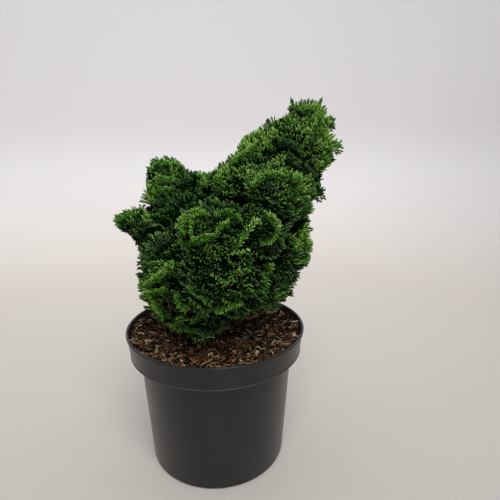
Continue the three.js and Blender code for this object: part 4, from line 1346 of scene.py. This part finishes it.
def drill_drains(piece):
    for k in range(DRAIN_HOLES):
        angle = (k + 0.5) / DRAIN_HOLES * 2 * math.pi
        reach = DRAIN_CIRCLE_RADIUS * MM
        bpy.ops.mesh.primitive_cylinder_add(
            vertices=24,
            radius=DRAIN_HOLE_RADIUS * MM,
            depth=4 * POT_FLOOR * MM,
            location=(reach * math.cos(angle), reach * math.sin(angle), 0),
        )
        drill = bpy.context.object
        cut = piece.modifiers.new("drain", "BOOLEAN")
        cut.operation = "DIFFERENCE"
        cut.object = drill
        cut.solver = "EXACT"
        bpy.context.view_layer.objects.active = piece
        bpy.ops.object.modifier_apply(modifier=cut.name)
        bpy.data.objects.remove(drill)


def pot_piece():
    lip_foot = POT_HEIGHT - LIP_THICKNESS
    bead = [(COLLAR_FOOT_RADIUS + proud, COLLAR_FOOT + rise, corner) for proud, rise, corner in BEAD]
    profile = [
        (0, 0, 0),
        (BODY_FOOT_RADIUS - FOOT_BEVEL, 0, 2.0),
        (BODY_FOOT_RADIUS, FOOT_BEVEL, 3.0),
        (BODY_TOP_RADIUS, COLLAR_FOOT, 2.0),
        (COLLAR_FOOT_RADIUS, COLLAR_FOOT, 0.5),
        *bead,
        (collar_radius(lip_foot) - LIP_PROUD, lip_foot, 1.0),
        (LIP_RADIUS, lip_foot, 0.8),
        (LIP_RADIUS, POT_HEIGHT, 1.4),
        (LIP_RADIUS - LIP_THICKNESS, POT_HEIGHT, 1.4),
        (collar_radius(SHOULDER) - POT_WALL, SHOULDER, 1.0),
        (body_radius(SHOULDER) - POT_WALL, SHOULDER, 1.0),
        (body_radius(POT_FLOOR) - POT_WALL, POT_FLOOR, 2.0),
        (0, POT_FLOOR, 0),
    ]
    plastic = pot_material("pot_plastic", (0.0120, 0.0110, 0.0105), (0.0215, 0.0198, 0.0188))
    piece = lathe_piece("pot_shell", rounded(profile), POT_SEGMENTS, plastic)
    drill_drains(piece)
    count = len(piece.data.polygons)
    centres = np.empty(3 * count)
    piece.data.polygons.foreach_get("center", centres)
    x, y, z = centres.reshape(count, 3).T / MM
    # Between these heights the bead's faces take a lighter plastic: a painted highlight along the collar's
    # foot.
    low, high = HIGHLIGHT_BAND
    highlight_faces = (np.hypot(x, y) > COLLAR_FOOT_RADIUS) & (z > COLLAR_FOOT + low) & (z < COLLAR_FOOT + high)
    piece.data.materials.append(pot_material("pot_painted_highlight_edge", (0.040, 0.038, 0.036), (0.062, 0.058, 0.056)))
    piece.data.polygons.foreach_set("material_index", highlight_faces.astype(np.int32))
    piece.data.polygons.foreach_set("use_smooth", np.ones(count, bool))
    piece.data.set_sharp_from_angle(angle=math.radians(40))
    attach(piece, "root")
    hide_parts("pot")


def mulch_height(x, y):
    """The bed's height over the ground: low humps and hollows, level where the trunk stands."""
    away = np.hypot(x, y)
    humps = np.sin(x / 17 + 1.3) * np.sin(y / 14 - 0.4) + 0.6 * np.sin(x / 7.3 - y / 9.1)
    heaped = MULCH_HEAP * np.clip((away - HEAP_START) / HEAP_WIDTH, 0, 1) ** 2
    return np.clip((away - LEVEL_RADIUS) / 30, 0, 1) * (HUMPS * humps - HUMPS) + heaped


CHIP_TRIANGLES = np.array(
    [
        (0, 2, 1), (0, 3, 2), (4, 5, 6), (4, 6, 7),
        (0, 1, 5), (0, 5, 4), (1, 2, 6), (1, 6, 5), (2, 3, 7), (2, 7, 6), (3, 0, 4), (3, 4, 7),
    ]
)


def chip_points(random, place, length, width, thickness):
    """A splinter of bark: a bent, tapered board with uneven ends."""
    turn = random.uniform(0, 2 * math.pi)
    pitch = random.uniform(-CHIP_PITCH, CHIP_PITCH)
    roll = random.uniform(-CHIP_ROLL, CHIP_ROLL)
    along = np.array([math.cos(turn) * math.cos(pitch), math.sin(turn) * math.cos(pitch), math.sin(pitch)])
    across = np.array([-math.sin(turn), math.cos(turn), 0]) * math.cos(roll)
    across += np.array([0, 0, math.sin(roll)])
    up = np.cross(along, across)
    points = []
    for layer in (-0.5, 0.5):
        for end, side in ((-0.5, -0.5), (0.5, -0.5), (0.5, 0.5), (-0.5, 0.5)):
            taper = random.uniform(*CHIP_TAPER)
            reach = end * length * random.uniform(*CHIP_ENDS)
            points.append(along * reach + across * (side * width * taper) + up * (layer * thickness))
    return np.array(points) + place


# A thin forked twig that lies on the mulch near the front: each part's foot and tip (X, Y, Z).
FORKED_TWIG = [
    ((-8.0, -104.0, 197.5), (6.0, -89.0, 198.5)),
    ((6.0, -89.0, 198.5), (12.0, -82.0, 198.0)),
    ((5.5, -89.5, 198.3), (-1.0, -78.0, 199.0)),
]
FORKED_TWIG_RADIUS = 0.8


def mulch_bed(random, rim):
    """What the chips lie on: rings of points round the middle, and an edge that goes down."""
    points = [np.array([[0, 0, GROUND]])]
    for ring in range(1, BED_RINGS + 1):
        angle = (np.arange(BED_SIDES) + 0.5 * (ring % 2)) / BED_SIDES * 2 * math.pi
        x = rim * ring / BED_RINGS * np.cos(angle)
        y = rim * ring / BED_RINGS * np.sin(angle)
        lumps = mulch_height(x, y) - BED_LUMPS * random.random(BED_SIDES) * (ring > 3)
        points.append(np.stack([x, y, GROUND + lumps - BED_SINK], 1))
    edge = points[-1].copy()
    edge[:, 2] = GROUND - MULCH_DEPTH
    points.append(edge)
    k = np.arange(BED_SIDES)
    turned = (k + 1) % BED_SIDES
    triangles = [np.stack([0 * k, 1 + k, 1 + turned], 1)]
    for ring in range(BED_RINGS):
        a = 1 + ring * BED_SIDES
        b = a + BED_SIDES
        triangles.append(np.stack([a + k, b + k, b + turned], 1))
        triangles.append(np.stack([a + k, b + turned, a + turned], 1))
    fines = chip_material("mulch_fines", (0.022, 0.012, 0.007))
    bed = mesh_piece("mulch_bed", np.concatenate(points), np.concatenate(triangles), [fines])
    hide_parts("bark_mulch")


def mulch_chips(random, rim):
    heap = Heap()
    for tone in random.choice(len(CHIP_TONES), CHIPS, p=CHIP_SHARES):
        away = rim * math.sqrt(random.uniform(*CHIP_PLACES))
        angle = random.uniform(0, 2 * math.pi)
        x, y = away * math.cos(angle), away * math.sin(angle)
        length = random.uniform(*CHIP_LENGTHS) * (LONG_CHIP if random.random() < LONG_CHIPS else 1)
        length = min(length, 2 * (rim - away) + 5)
        width = random.uniform(*CHIP_WIDTHS[random.random() >= SLIVERS])
        z = GROUND + float(mulch_height(x, y)) - CHIP_SINK + random.uniform(*CHIP_LIFTS)
        chip = chip_points(random, [x, y, z], length, width, random.uniform(*CHIP_THICKNESSES))
        heap.put(chip, CHIP_TRIANGLES, tone)
    for foot, tip in FORKED_TWIG:
        put_twig(heap, np.array(foot), np.array(tip), FORKED_TWIG_RADIUS, len(CHIP_TONES) - 2)
    chips = heap.piece("mulch_chips", [chip_material(*row) for row in CHIP_TONES], smooth=False)


def mulch_pieces():
    random = np.random.default_rng(5)
    rim = inside_radius(GROUND) - 1.0
    mulch_bed(random, rim)
    mulch_chips(random, rim)


def mix_look():
    """The potting mix shows only through the drain holes, and keeps its own solid."""
    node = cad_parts["potting_mix"]
    node.data.materials.clear()
    node.data.materials.append(chip_material("potting_mix_fines", (0.023, 0.012, 0.007)))


# ---------------------------------------------------------------- stage, light and camera
# In metres: the height at which the backdrop's paper has turned neutral, and the sizes of the backdrop.
FLOOR_FADE = 0.35
SWEEP_FLOOR = 0.95
SWEEP_CURVE = 0.55
SWEEP_TOP = 1.7
SWEEP_STEPS = 12
FLOOR_SEGMENTS = 96


def floor_material():
    """Paper that is warm on the floor, with a fine tooth, and neutral and a little lighter up the wall."""

    def build(tree, shader):
        place = add(tree, "ShaderNodeTexCoord")
        parts = add(tree, "ShaderNodeSeparateXYZ")
        rise = add(tree, "ShaderNodeMapRange", From_Max=FLOOR_FADE)
        tree.links.new(place.outputs["Object"], parts.inputs["Vector"])
        tree.links.new(parts.outputs["Z"], rise.inputs["Value"])
        stops = [(0.0, (0.635, 0.60, 0.56)), (1.0, (0.73, 0.72, 0.74))]
        tree.links.new(ramp(tree, rise.outputs["Result"], stops), shader.inputs["Base Color"])
        bump(tree, shader, noise(tree, 300, detail=2.0), 0.0002)

    return material("floor_paper", (0.665, 0.63, 0.59), 0.7, build)


def stage():
    """A floor that sweeps up into a round backdrop, as a studio's paper does."""
    profile = [(0, 0), (SWEEP_FLOOR / 2, 0)]
    for step in range(SWEEP_STEPS + 1):
        turn = step / SWEEP_STEPS * math.pi / 2
        profile.append((SWEEP_FLOOR + SWEEP_CURVE * math.sin(turn), SWEEP_CURVE * (1 - math.cos(turn))))
    profile.append((SWEEP_FLOOR + SWEEP_CURVE, SWEEP_TOP))
    floor = lathe_piece("floor", [(r / MM, z / MM) for r, z in profile], FLOOR_SEGMENTS, floor_material())
    floor.data.flip_normals()
    floor.data.polygons.foreach_set("use_smooth", np.ones(len(floor.data.polygons), bool))


def light(name, kind, place, aim, power, **settings):
    """A light that shines from `place` to `aim`. A sun does so from afar, the same all over the floor."""
    data = bpy.data.lights.new(name, kind)
    data.energy = power
    for key, value in settings.items():
        setattr(data, key, value)
    lamp = bpy.data.objects.new(name, data)
    lamp.location = place
    lamp.rotation_euler = (Vector(aim) - Vector(place)).to_track_quat("-Z", "Y").to_euler()
    bpy.context.scene.collection.objects.link(lamp)


def lights():
    soft = math.radians(40)
    light("ceiling", "SUN", (0.15, -0.75, 1.0), (0, 0, 0), 1.8, angle=soft, color=(1, 0.99, 0.97))
    pane = {"shape": "RECTANGLE", "size": 1.0, "size_y": 0.6}
    light("window", "AREA", (0.3, -1.0, 1.3), (0.02, 0, 0.25), 5, **pane)
    world = bpy.data.worlds.new("room")
    world.use_nodes = True
    backdrop = world.node_tree.nodes["Background"]
    backdrop.inputs["Color"].default_value = (0.80, 0.795, 0.81, 1)
    backdrop.inputs["Strength"].default_value = 0.72
    bpy.context.scene.world = world


CAMERA_PLACE = (0.0502, -0.546, 0.455)
CAMERA_PITCH = 16.11
CAMERA_SENSOR = 36.0
CAMERA_LENS = 28.8
CAMERA_SHIFT_Y = 0.026


def camera():
    data = bpy.data.cameras.new("camera")
    data.sensor_width = CAMERA_SENSOR
    data.lens = CAMERA_LENS
    data.shift_y = CAMERA_SHIFT_Y
    data.clip_end = 100
    view = bpy.data.objects.new("camera", data)
    view.location = CAMERA_PLACE
    view.rotation_euler = (math.radians(90 - CAMERA_PITCH), 0, 0)
    bpy.context.scene.collection.objects.link(view)
    bpy.context.scene.camera = view


camera()
stage()
lights()
bpy.context.scene.view_settings.view_transform = "Standard"
pot_piece()
mulch_pieces()
mix_look()
trunk_piece()
for space in SPACES:
    if space.bough:
        bough_piece(space)
TWIGS = Heap()
for space in SPACES:
    foliage_piece(space, TWIGS)
for foot, tip in STEMS:
    put_twig(TWIGS, upright(foot), upright(tip), STEM_RADIUS)
twig_piece = TWIGS.piece("twigs", [TWIG_BARK])
